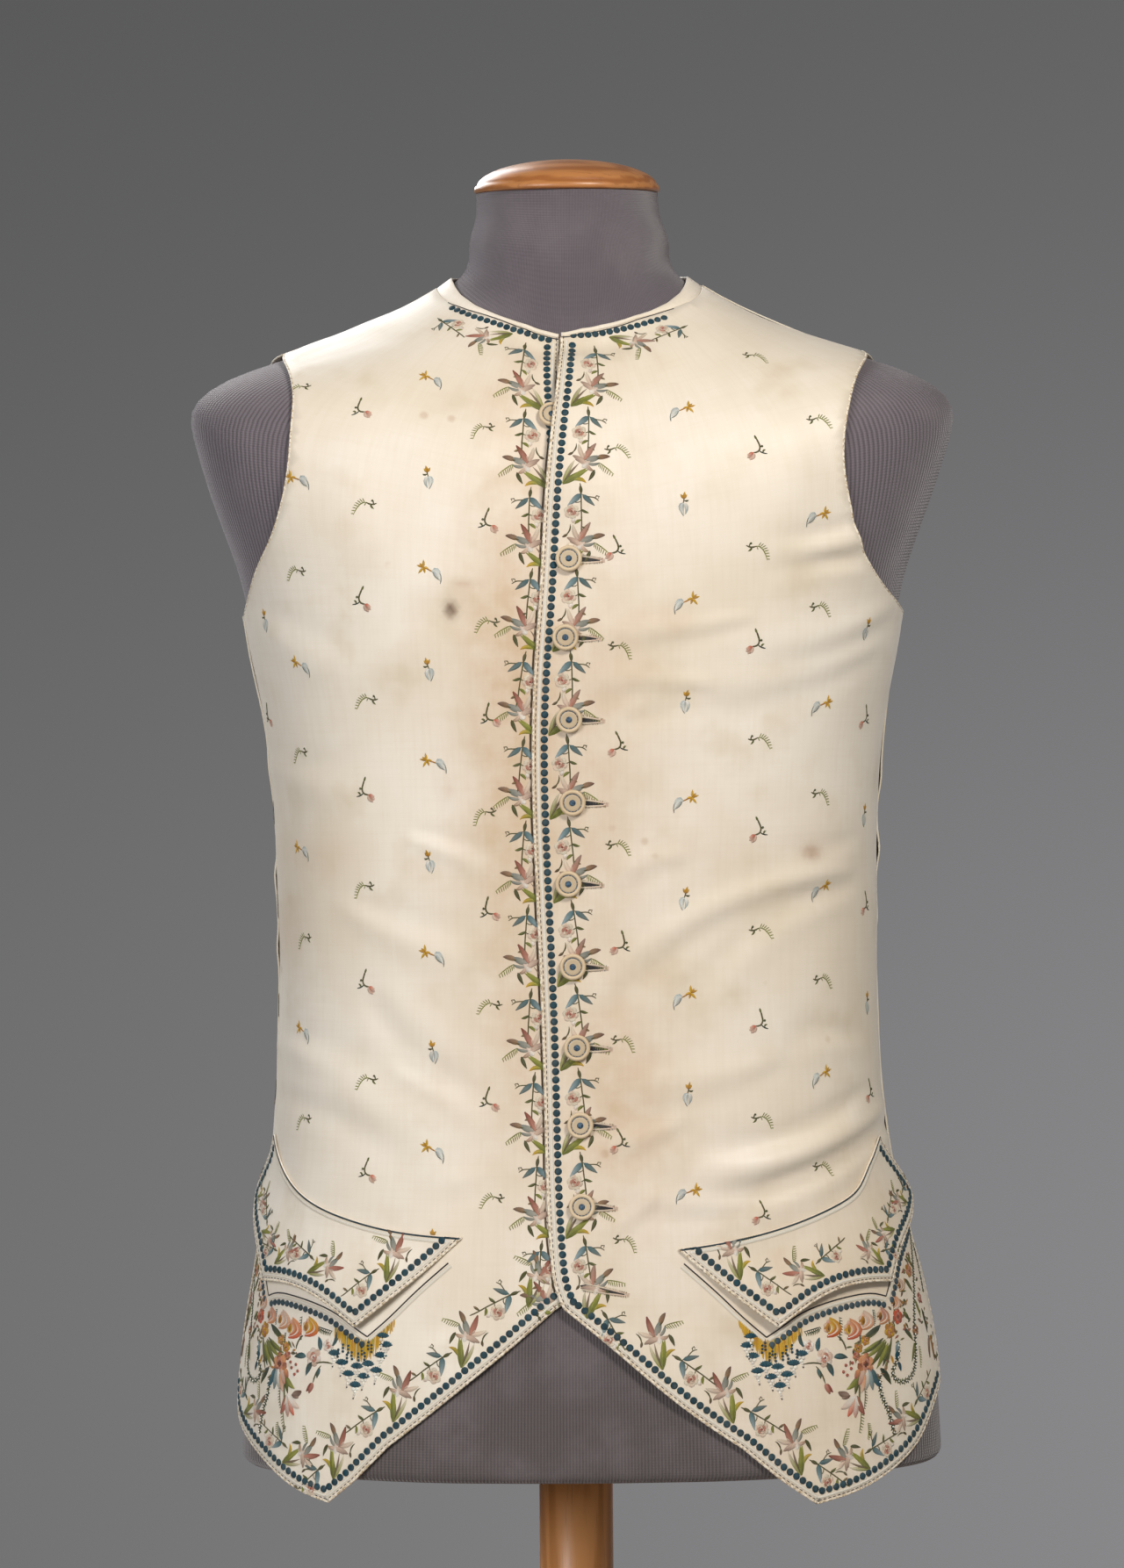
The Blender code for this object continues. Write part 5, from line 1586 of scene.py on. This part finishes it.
def floss_material():
    """Untwisted silk floss, stitched: fine parallel threads with a bright broad highlight."""
    if "floss" in materials:
        return materials["floss"]
    material, tree = new_material("floss", Roughness=0.48, Sheen_Weight=0.06, Sheen_Roughness=0.35,
                                          Specular_IOR_Level=0.32)
    dye, thread = point_colour(tree, "dye"), uv_of(tree, "thread")
    space = space_of(tree)
    slanted = add_node(tree, "ShaderNodeMapping", {"Rotation": (0, 0, 0.7)}, {"Vector": thread}).outputs[0]
    # Threads are 0.3 mm wide; they are drawn at 0.5 mm so that they show.
    line = stripes(tree, slanted, 0.5, "X", 0.6)
    wear = ramp(tree, noise(tree, space, 260.0, 3.0), 0.3, 0.75)
    tone = mixed(tree, times(tree, wear, 0.05), dye, "#efe4cf")
    # Painted shade: the lines between the threads are darkened towards near black.
    tone = mixed(tree, ramp(tree, line, 0.0, 0.5, 0.42, 0.0), tone, "#1d1a14")
    return finish_material(material, tone, line, 0.55, 0.00025)


def plain_linen(name):
    """Undyed linen, plain woven: matt, with slubs and a square grain."""
    material, tree = new_material(name, Roughness=0.86, Sheen_Weight=0.12, Specular_IOR_Level=0.25)
    space = space_of(tree)
    cut = uv_of(tree)
    tone = mixed(tree, ramp(tree, noise(tree, space, 12.0, 4.0), 0.3, 0.7), "#ddd0b8", "#e8dfcc")
    across, down = stripes(tree, cut, 1.1, "X", 1.2), stripes(tree, cut, 1.1, "Y", 1.2)
    slub = ramp(tree, noise(tree, cut, 300.0, 2.0, 0.6, (0.06, 1.0, 1.0)), 0.5, 0.8)
    tone = mixed(tree, times(tree, slub, 0.25), tone, "#c3b090")
    tone = mixed(tree, times(tree, times(tree, across, down), 0.18), tone, "#efe6d2")
    tone = mixed(tree, ramp(tree, noise(tree, space, 30.0, 4.0), 0.6, 0.85, 0.0, 0.22), tone, "#b39c76")
    height = times(tree, times(tree, across, down, "ADD"), slub, "ADD")
    return finish_material(material, tone, height, 0.5, 0.00025)


def rib_jersey(name):
    """Cotton jersey, knitted: fine upright ribs, matt and a little darker towards the bottom."""
    material, tree = new_material(name, Roughness=0.9, Sheen_Weight=0.3, Sheen_Roughness=0.5,
                                          Specular_IOR_Level=0.2)
    cut = uv_of(tree)
    space = space_of(tree)
    rib = stripes(tree, cut, 2.1, "X")
    stitch = stripes(tree, cut, 1.5, "Y")
    low = ramp(tree, add_node(tree, "ShaderNodeSeparateXYZ", {}, {"Vector": space}).outputs[2], 0.2, 0.5, 1.0, 0.0)
    tone = mixed(tree, times(tree, low, 0.8), "#746b70", "#5d5550")
    tone = mixed(tree, ramp(tree, rib, 0.1, 0.7, 0.55, 0.0), tone, "#3f3a3c")
    tone = mixed(tree, ramp(tree, noise(tree, space, 30.0, 3.0), 0.4, 0.8, 0.0, 0.3), tone, "#8a8083")
    height = times(tree, rib, times(tree, stitch, 0.3), "ADD")
    return finish_material(material, tone, height, 0.7, 0.0006)


def beech(name, along="Z", ground="#b87b46", late="#9c6030"):
    """Turned beech, oiled: honey ground, darker growth lines and short flecks."""
    material, tree = new_material(name, Roughness=0.38, Coat_Weight=0.25, Coat_Roughness=0.3,
                                          Specular_IOR_Level=0.45)
    space = space_of(tree)
    stretch = (1.0, 1.0, 0.06) if along == "Z" else (0.08, 1.0, 1.0)
    stretched = add_node(tree, "ShaderNodeMapping", {"Scale": stretch}, {"Vector": space}).outputs[0]
    # Growth rings 3 mm apart, cut along the grain.
    ring = add_node(tree, "ShaderNodeTexWave", {"wave_type": "RINGS", "rings_direction": "X", "Scale": 55.0,
                                                "Distortion": 6.0, "Detail": 2.0, "Detail Scale": 1.4},
                    {"Vector": stretched}).outputs["Fac"]
    fleck = noise(tree, space, 500.0, 2.0, 0.6, stretch)
    tone = mixed(tree, ramp(tree, ring, 0.15, 0.95), ground, late)
    tone = mixed(tree, ramp(tree, fleck, 0.55, 0.75, 0.0, 0.45), tone, "#7c4c26")
    tone = mixed(tree, ramp(tree, noise(tree, space, 14.0, 3.0), 0.3, 0.7, 0.0, 0.3), tone, "#cf9e69")
    return finish_material(material, tone, fleck, 0.15, 0.0002)


def whipped_thread(name):
    """Silk thread whipped over the raw edge: bright turns with dark gaps between."""
    material, tree = new_material(name, Roughness=0.55, Sheen_Weight=0.2, Specular_IOR_Level=0.35)
    space = space_of(tree)
    fleck = noise(tree, space, 650.0, 2.0)
    tone = mixed(tree, ramp(tree, fleck, 0.35, 0.6), "#b49c78", "#f1e6d0")
    tone = mixed(tree, ramp(tree, noise(tree, space, 300.0, 2.0), 0.62, 0.74, 0.0, 0.7), tone, "#6b4a34")
    return finish_material(material, tone, fleck, 0.6, 0.0004)


def floor_paper(name):
    """Matt pale studio paper with a faint tooth."""
    material, tree = new_material(name, Roughness=0.9, Specular_IOR_Level=0.15)
    space = space_of(tree)
    tone = mixed(tree, ramp(tree, noise(tree, space, 6.0, 3.0), 0.3, 0.7), "#a9a8a6", "#b1b0ae")
    return finish_material(material, tone)


# ---- ageing of the satin, and painted shade on it ---------------------------------------

# The tan is yellowing of the silk; near the centre front and low on the wearer's left front it is partly painted
# shade.
# Columns: x, z, half width, half height, tan, rust, hole, all of them from 0 to 1.
AGEING_AND_PAINTED_SHADE = (
    (-30, 640, 36, 170, 0.6, 0.0, 0.0), (-24, 470, 38, 110, 0.4, 0.0, 0.0), (-34, 800, 26, 60, 0.30, 0.0, 0.0),
    (40, 690, 34, 16, 0.26, 0.0, 0.0), (10, 600, 38, 190, 0.36, 0.0, 0.0), (22, 420, 44, 90, 0.46, 0.0, 0.0),
    (110, 330, 90, 60, 0.2, 0.0, 0.0), (100, 240, 60, 50, 0.26, 0.0, 0.0), (48, 590, 30, 14, 0.16, 0.0, 0.0),
    (132, 560, 5, 4, 0.3, 0.7, 0.0), (60, 560, 70, 26, 0.14, 0.0, 0.0), (-145, 558, 22, 14, 0.2, 0.0, 0.0),
    (-165, 515, 12, 22, 0.2, 0.0, 0.0), (-68, 697, 3, 4.2, 0.5, 0.4, 0.9), (-60, 712, 7, 2.4, 0.4, 0.2, 0.0),
    (-50, 250, 24, 16, 0.3, 0.0, 0.0), (96, 236, 20, 14, 0.25, 0.0, 0.0), (-70, 596, 5, 8, 0.3, 0.1, 0.0),
)


def write_age_and_shade(panel):
    """Writes the ageing of a front, and its painted shade, to its points."""
    mesh = panel["obj"].data
    points = np.empty(len(mesh.vertices) * 3)
    mesh.vertices.foreach_get("co", points)
    points = points.reshape(-1, 3) / MM
    x, z = points[:, 0], points[:, 2]
    amounts = np.zeros((len(points), 4), dtype=np.float32)
    amounts[:, 3] = 1.0
    for cx, cz, width, height, *parts in AGEING_AND_PAINTED_SHADE:
        near = np.exp(-((x - cx) / width) ** 2 - ((z - cz) / height) ** 2)
        for i, part in enumerate(parts):
            amounts[:, i] = np.maximum(amounts[:, i], near * part)
    layer = mesh.color_attributes.new("age_and_shade", "FLOAT_COLOR", "POINT")
    layer.data.foreach_set("color", amounts.ravel())


# ---- making the garment -----------------------------------------------------------------

def make_panels():
    """The two fronts, the back and the two flaps, with their cloth."""
    cuts = (
        ("front_left", "front_left", front_left_lines(FRONT_PITCH), left_front_stand, FRONT_PITCH, "front_satin"),
        ("front_right", "front_right", front_right_lines(FRONT_PITCH), right_front_stand, FRONT_PITCH, "front_satin"),
        ("back", "back", back_lines(BACK_PITCH), back_stand, BACK_PITCH, "back_cloth"),
        ("flap_left", "pocket_flap_left", flap_lines(LEFT_FLAP_FREE, LEFT_FLAP_SEAM, FLAP_PITCH),
         flap_stand(LEFT_FLAP_SEAM, left_front_stand, 0.4), FLAP_PITCH, "flap_satin"),
        ("flap_right", "pocket_flap_right", flap_lines(RIGHT_FLAP_FREE, RIGHT_FLAP_SEAM, FLAP_PITCH),
         flap_stand(RIGHT_FLAP_SEAM, right_front_stand, 2.0), FLAP_PITCH, "flap_satin"),
    )
    for name, node, lines, stand, pitch, slot in cuts:
        panels[name] = make_cloth("cloth_" + name, lines, stand, pitch, slot)
        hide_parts(node)
    satin = silk_satin("front_satin", "#efe6d6", "#e3d6c0", "#cbb897")
    for name in ("front_left", "front_right", "flap_left", "flap_right"):
        panels[name]["obj"].data.materials.append(satin)
        write_age_and_shade(panels[name])
    panels["back"]["obj"].data.materials.append(plain_linen("back_linen"))


def binding_stand(angle, level):
    """The neck binding follows the front or back cloth it is sewn to."""
    lift = top_lap(angle, level) * ease(angle, -6.5, -4.8)
    step = under_lap(angle) * (1 - ease(angle, -6.5, -4.8))
    return lift + step + 0.3


def make_bindings():
    satin = silk_satin("binding_satin", "#f3eadb", "#e6d8c1", "#c9b696", attribute=False)
    for side, start, end in (("left", -5.0, 87.2), ("right", -87.2, -6.6), ("back", 87.8, 272.2)):
        count = int(abs(end - start) * MM_PER_NECK_DEGREE / BINDING_PITCH)
        angles = np.linspace(start, end, count)
        top = np.stack([angles, neck_edge(angles)], -1)
        lines = {"top": top, "seam": neck_seam(end, start, 0.0, BINDING_PITCH)}
        name = "neck_binding_" + side
        panels[name] = make_cloth("cloth_" + name, lines, binding_stand, BINDING_PITCH, "binding_satin")
        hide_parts(name)
        panels[name]["obj"].data.materials.append(satin)


def embroider_fronts():
    for side, columns, way in (("left", LEFT_SPRIGS, 1), ("right", RIGHT_SPRIGS, -1)):
        panel = panels["front_" + side]
        work = Needlework(panel)
        edge_trim(work, ["lap", "hem", "skirt"])
        lap, hem, skirt = (inset_run(panel, [line], DOT_IN + DOT_WIDTH / 2) for line in ("lap", "hem", "skirt"))
        for f in work.along(lap, BORDER_PITCH, LAP_START, LAP_END):
            lily_repeat(work, f, 1.0, "mauve" if way > 0 else "crimson")
        origin, ahead, inward = work.along(lap, 1.0)[0]
        lily_spray(work, (origin - ahead * (BORDER_PITCH - LAP_START), ahead, inward))
        for run, start, scale in ((hem, HEM_START[side], 1.0), (skirt, SKIRT_START, 0.95)):
            for f in work.along(run, HEM_PITCH, start):
                lily_repeat(work, f, scale, "crimson")
        neck_border(work, side)
        if side == "right":
            # Painted shadow: a dark band of flat silk on the under front, along the lap's edge, where the lap's
            # shadow falls.
            edge = smooth_line([(angle - 0.7, level) for angle, level in TOP_FRONT_EDGE[1:-1]], 3.0)
            work.ribbon(cloth_run(panel, edge), 0.55, 0.04, "painted_lap_shadow")
        embroider_pocket(work, way)
        scatter_sprigs(work, columns, way, 345.0)
        if side == "left":
            for distance, level in BUTTON_PLACES:
                if level < BUTTONHOLES_BELOW:
                    origin, ahead, up = upright(panel, angle_at(distance, level), float(level), 1, 0.06)
                    buttonhole(work, (origin, up, ahead), 12.5, 6.4)
            # The last buttonhole has lost its button.
            origin, ahead, up = upright(panel, *EMPTY_BUTTONHOLE, 1, 0.2)
            buttonhole(work, (origin, up, ahead), 24.0)
        work.make("embroidery_front_" + side, "front_satin")


# The dots below the neck run straighter than the neck edge. Columns: angle, level.
NECK_DOTS = {
    "left": ((0.8, 908.2), (8.8, 908.0), (17.8, 907.4), (25.2, 906.2), (32.5, 904.4), (39.8, 902.2), (47.2, 899.8)),
    "right": ((-11.2, 906.4), (-20.8, 906.0), (-29.2, 904.7), (-38.0, 902.9), (-46.2, 900.7), (-54.2, 899.3),
              (-60.5, 898.6)),
}


def neck_border(work, side):
    """Dots and a spray of flowers below the neck binding, with a dark line at its seam."""
    way = 1 if side == "left" else -1
    run = cloth_run(work.panel, smooth_line(NECK_DOTS[side], 3.0), 1.0, -way)
    for f in work.along(run, 4.2, 0.0):
        work.dot(f, (0, 0), 4.0, "ink")
    seam = reversed_run(inset_run(work.panel, ["neck"], 0.6))
    shown = int(len(seam[0]) * (0.62 if way > 0 else 0.7))
    work.ribbon([part[:shown] for part in seam], 0.32, 0.2, "dark")
    back = reversed_run(shifted(run, DOT_WIDTH / 2))
    length = run_lengths(run[0])[-1]
    lily(work, work.along(back, length, length - 33.0)[0], 0.86, "mauve" if way > 0 else "crimson")
    origin, ahead, inward = work.along(back, length)[0]
    lily_spray(work, (origin - ahead * (76.0 - length), ahead, inward), 0.86)


# Lilies along a flap's edge. Columns: distance from its inner corner on the wearer's left
# and on the right, scale.
FLAP_LILIES = (
    (4.0, 14.0, 0.95), (67.0, 79.0, 0.85), (113.0, 110.0, 0.75), (141.0, 141.0, 0.7), (169.0, 169.0, 0.7),
)


def embroider_flaps():
    for side in ("left", "right"):
        panel = panels["flap_" + side]
        work = Needlework(panel)
        edge_trim(work, ["inner", "lower", "outer", "end"], beside="seam")
        run = inset_run(panel, ["inner", "lower", "outer"], DOT_IN + DOT_WIDTH / 2)
        for left, right, scale in FLAP_LILIES:
            place = left if side == "left" else right
            lily_repeat(work, work.along(run, 500.0, place)[0], scale, "rose")
        work.ribbon(inset_run(panel, ["seam"], 0.7), 0.5, 0.3, "ink", "dark")
        work.ribbon(inset_run(panel, ["seam"], 2.6), 1.3, 0.35, "white", "cream")
        work.make("embroidery_flap_" + side, "flap_satin")


def make_edges():
    thread = whipped_thread("whipped_edge")
    for name, lines in (("front_left", ("lap", "hem", "skirt", "vent", "armhole")),
                        ("front_right", ("lap", "hem", "skirt", "vent", "armhole")),
                        ("flap_left", ("inner", "lower", "outer", "end")),
                        ("flap_right", ("inner", "lower", "outer", "end")),
                        ("back", ("armhole", "armhole_right", "hem", "hem_right", "vent", "vent_right"))):
        slot = {"front": "front_satin", "flap": "flap_satin", "back": "back_cloth"}[name.split("_")[0]]
        cord = edge_cord(panels[name], "edge_" + name, lines, slot, 0.75 if name != "back" else 0.6)
        cord.data.materials.append(thread)


def make_back_seam():
    """The back is two halves, sewn at the middle with a row of fine stitches beside the seam."""
    panel = panels["back"]
    work = Needlework(panel)
    hem = panel["lines"]["hem"][:, 1].min()
    line = [(180.0, neck_edge(180.0) - 6.0), (180.0, 700.0), (180.0, 480.0), (180.0, hem + 1.5)]
    run = cloth_run(panel, smooth_line(line, 3.0))
    work.ribbon(run, 0.5, 0.05, "fawn")
    for f in work.along(shifted(run, 2.2), 4.0, 2.0):
        work.leaf(f, (-1.0, 0.0), (0.0, 0.1), (1.0, 0.0), 0.45, "tan", "cream", 0.2, 3)
    work.make("back_seam", "back_cloth")


def make_dress_form():
    """The limbless jersey form: smooth, whole and closed flat below and above."""
    levels = np.concatenate([[212, 212.6, 213.6, 215, 217, 219], np.arange(226, 872, 9.0),
                             np.arange(872, 960, 4.0), [966.0, 970.0]])
    angles = np.arange(180) * 2.0 - 180.0
    rows = []
    for level in levels:
        height = max(0.0, FORM_ROUNDING - (level - FORM_BOTTOM)) / FORM_ROUNDING
        rounding = FORM_ROUNDING * (1 - math.sqrt(max(0.0, 1 - height * height)))
        row_levels = np.full(angles.shape, float(level))
        stand = -(form_inset(angles, row_levels) + rounding)
        points = body_point(angles, row_levels) + body_normal(angles, row_levels) * stand[:, None]
        if level < FORM_BOTTOM + FORM_ROUNDING:
            points[:, 2] = level
        points[:, 2] = np.minimum(points[:, 2], FORM_TOP)
        rows.append(points)
    bm = bmesh.new()
    uv = bm.loops.layers.uv.new("cut")
    loops = [[bm.verts.new(tuple(point * MM)) for point in row] for row in rows]
    for i, (low, high) in enumerate(zip(loops[:-1], loops[1:])):
        for k in range(len(angles)):
            n = (k + 1) % len(angles)
            face = bm.faces.new((low[k], low[n], high[n], high[k]))
            face.smooth = True
            for loop, (column, row) in zip(face.loops, ((k, i), (k + 1, i), (k + 1, i + 1), (k, i + 1))):
                loop[uv].uv = (column * 2.0 * MM_PER_DEGREE * 1.05 * MM, levels[row] * MM)
    bm.faces.new(loops[0][::-1])
    bm.faces.new(loops[-1])
    mesh = bpy.data.meshes.new("jersey_form")
    bm.to_mesh(mesh)
    bm.free()
    mesh.set_sharp_from_angle(angle=math.radians(40.0))
    form = add_piece("jersey_form", mesh, "form_jersey", "dress_form")
    form.data.materials.append(rib_jersey("form_jersey"))


def make_stand():
    """The beech cap, post and foot."""
    radius, rim = CAP_DIAMETER / 2, 3.4
    dome = [(radius * 0.975 * math.sin(t), rim + (CAP_HEIGHT - rim) * math.cos(t))
            for t in np.radians(np.linspace(0.0, 86.0, 22))]
    edge = [(radius - 0.5, rim + 0.5), (radius, rim * 0.7), (radius, rim * 0.35), (radius - 0.5, 0.5),
            (radius - 1.4, 0.0), (0.0, 0.0)]
    cap = turned_mesh("turned_cap", dome + edge, 96)
    cap.transform(Matrix.Translation(Vector((STAND_AXIS_X, 0.0, FORM_TOP + SEAM_GAP)) * MM))
    add_piece("turned_cap", cap, "cap_beech", "neck_cap").data.materials.append(beech("cap_beech", "X"))
    low, high, radius = BASE_HEIGHT + SEAM_GAP, FORM_BOTTOM - SEAM_GAP, POST_DIAMETER / 2
    post = [(0.0, high), (radius - 0.6, high), (radius, high - 0.6), (radius, low + 13.0), (radius + 0.4, low + 11.6),
            (radius + 1.8, low + 10.4), (radius + 3.6, low + 9.0), (radius + 4.5, low + 6.6),
            (radius + 4.5, low + 0.5), (radius + 4.0, low), (0.0, low)]
    post_mesh = turned_mesh("turned_post", post, 64)
    post_mesh.transform(Matrix.Translation((STAND_AXIS_X * MM, 0, 0)))
    # Painted light: the post's beech is paler than the cap's and the foot's, making up for the weaker light low down.
    post_beech_painted_light = beech("stand_beech", "Z", "#d38f52", "#b77438")
    add_piece("turned_post", post_mesh, "stand_beech", "stand_post").data.materials.append(post_beech_painted_light)
    radius, height = BASE_DIAMETER / 2, BASE_HEIGHT
    rim_arc = [(radius - 9.0 + 9.0 * math.sin(t), height - 9.0 + 9.0 * math.cos(t))
               for t in np.radians(np.linspace(0.0, 90.0, 10))]
    base = [(0.0, height), (radius - 16.0, height)] + rim_arc + [(radius, 3.0), (radius - 0.9, 0.9),
                                                                (radius - 3.0, 0.0), (0.0, 0.0)]
    base_mesh = turned_mesh("turned_foot", base, 128)
    base_mesh.transform(Matrix.Translation((STAND_AXIS_X * MM, 0, 0)))
    add_piece("turned_foot", base_mesh, "stand_beech", "stand_base").data.materials.append(beech("foot_beech", "X"))


def make_buttons():
    silk_satin("button", "#dcc7a6", "#cdb48f", "#a98d66", attribute=False)
    silk_satin("button_middle", "#c9b698", "#bba686", "#9a8462", attribute=False)
    thread_colour("button_silk", "#22384c")
    for number, place in enumerate(BUTTON_PLACES, 1):
        make_button(number, place)


def thread_colour(name, hex_colour):
    """Dark silk back stitches: a fine twist with a soft shine."""
    material, tree = new_material(name, Roughness=0.5, Specular_IOR_Level=0.4)
    space = space_of(tree)
    fleck = noise(tree, space, 900.0, 2.0)
    tone = mixed(tree, ramp(tree, fleck, 0.35, 0.7), hex_colour, "#4f6b7d")
    return finish_material(material, tone, fleck, 0.4, 0.0002)


# ---- room, light and camera -------------------------------------------------------------

CAMERA_PLACE = (-0.0072, -4.0, 0.7095)      # metres
CAMERA_LENS = 161.25
CAMERA_TILT = math.atan(225 / 8000)
CAMERA_ROLL = math.radians(-0.41)
FLOOR_RADIUS = 0.97

def make_room():
    """A pale round floor, and a plain grey backdrop that darkens upwards."""
    bm = bmesh.new()
    bmesh.ops.create_cone(bm, cap_ends=True, segments=96, radius1=FLOOR_RADIUS, radius2=0.95,
                          depth=0.004)
    bmesh.ops.translate(bm, verts=bm.verts, vec=(0, 0, -0.0025))
    mesh = bpy.data.meshes.new("floor")
    bm.to_mesh(mesh)
    bm.free()
    mesh.materials.append(floor_paper("floor_paper"))
    floor = bpy.data.objects.new("floor", mesh)
    bpy.context.scene.collection.objects.link(floor)
    world = bpy.data.worlds.new("studio")
    bpy.context.scene.world = world
    world.use_nodes = True
    tree = world.node_tree
    ways = add_node(tree, "ShaderNodeTexCoord").outputs["Generated"]
    across, _, up = add_node(tree, "ShaderNodeSeparateXYZ", {}, {"Vector": ways}).outputs
    left = mixed(tree, ramp(tree, up, -0.12, 0.12), "#6e6e6e", "#565656")
    right = mixed(tree, ramp(tree, up, -0.12, 0.12), "#8c8b8d", "#626263")
    tone = mixed(tree, ramp(tree, across, -0.16, 0.16), left, right)
    background = tree.nodes["Background"]
    tree.links.new(tone, background.inputs["Color"])
    background.inputs["Strength"].default_value = 1.0


def add_light(name, place, aim, size, power, tint="#ffffff"):
    data = bpy.data.lights.new(name, "AREA")
    data.shape = "RECTANGLE"
    data.size, data.size_y = size
    data.energy = power
    data.color = colour(tint)
    light = bpy.data.objects.new(name, data)
    light.location = place
    light.rotation_euler = (Vector(aim) - Vector(place)).to_track_quat("-Z", "Y").to_euler()
    bpy.context.scene.collection.objects.link(light)


def make_camera():
    """A long lens a little above the middle of the part, looking level and slightly down."""
    data = bpy.data.cameras.new("camera")
    data.sensor_fit = "VERTICAL"
    data.sensor_height = 36.0
    data.lens = CAMERA_LENS
    camera = bpy.data.objects.new("camera", data)
    look = Matrix.Rotation(math.pi / 2 - CAMERA_TILT, 4, "X") @ Matrix.Rotation(CAMERA_ROLL, 4, "Z")
    camera.matrix_world = Matrix.Translation(CAMERA_PLACE) @ look
    bpy.context.scene.collection.objects.link(camera)
    bpy.context.scene.camera = camera


# The dyes are matched as seen colours, so the view adds no film curve.
bpy.context.scene.view_settings.view_transform = "Standard"
make_camera()
make_panels()
make_bindings()
embroider_fronts()
embroider_flaps()
make_back_seam()
make_edges()
make_buttons()
make_dress_form()
make_stand()
make_room()
add_light("key", (1.05, -2.0, 2.3), (0.0, 0.0, 0.66), (0.55, 0.55), 50.0, "#fffaf4")
add_light("fill", (-1.7, -2.7, 1.3), (0.0, 0.0, 0.6), (1.3, 1.3), 57.0, "#fbfbff")
add_light("rim", (-1.2, 2.4, 2.0), (0.0, 0.0, 0.6), (1.6, 1.6), 62.0)
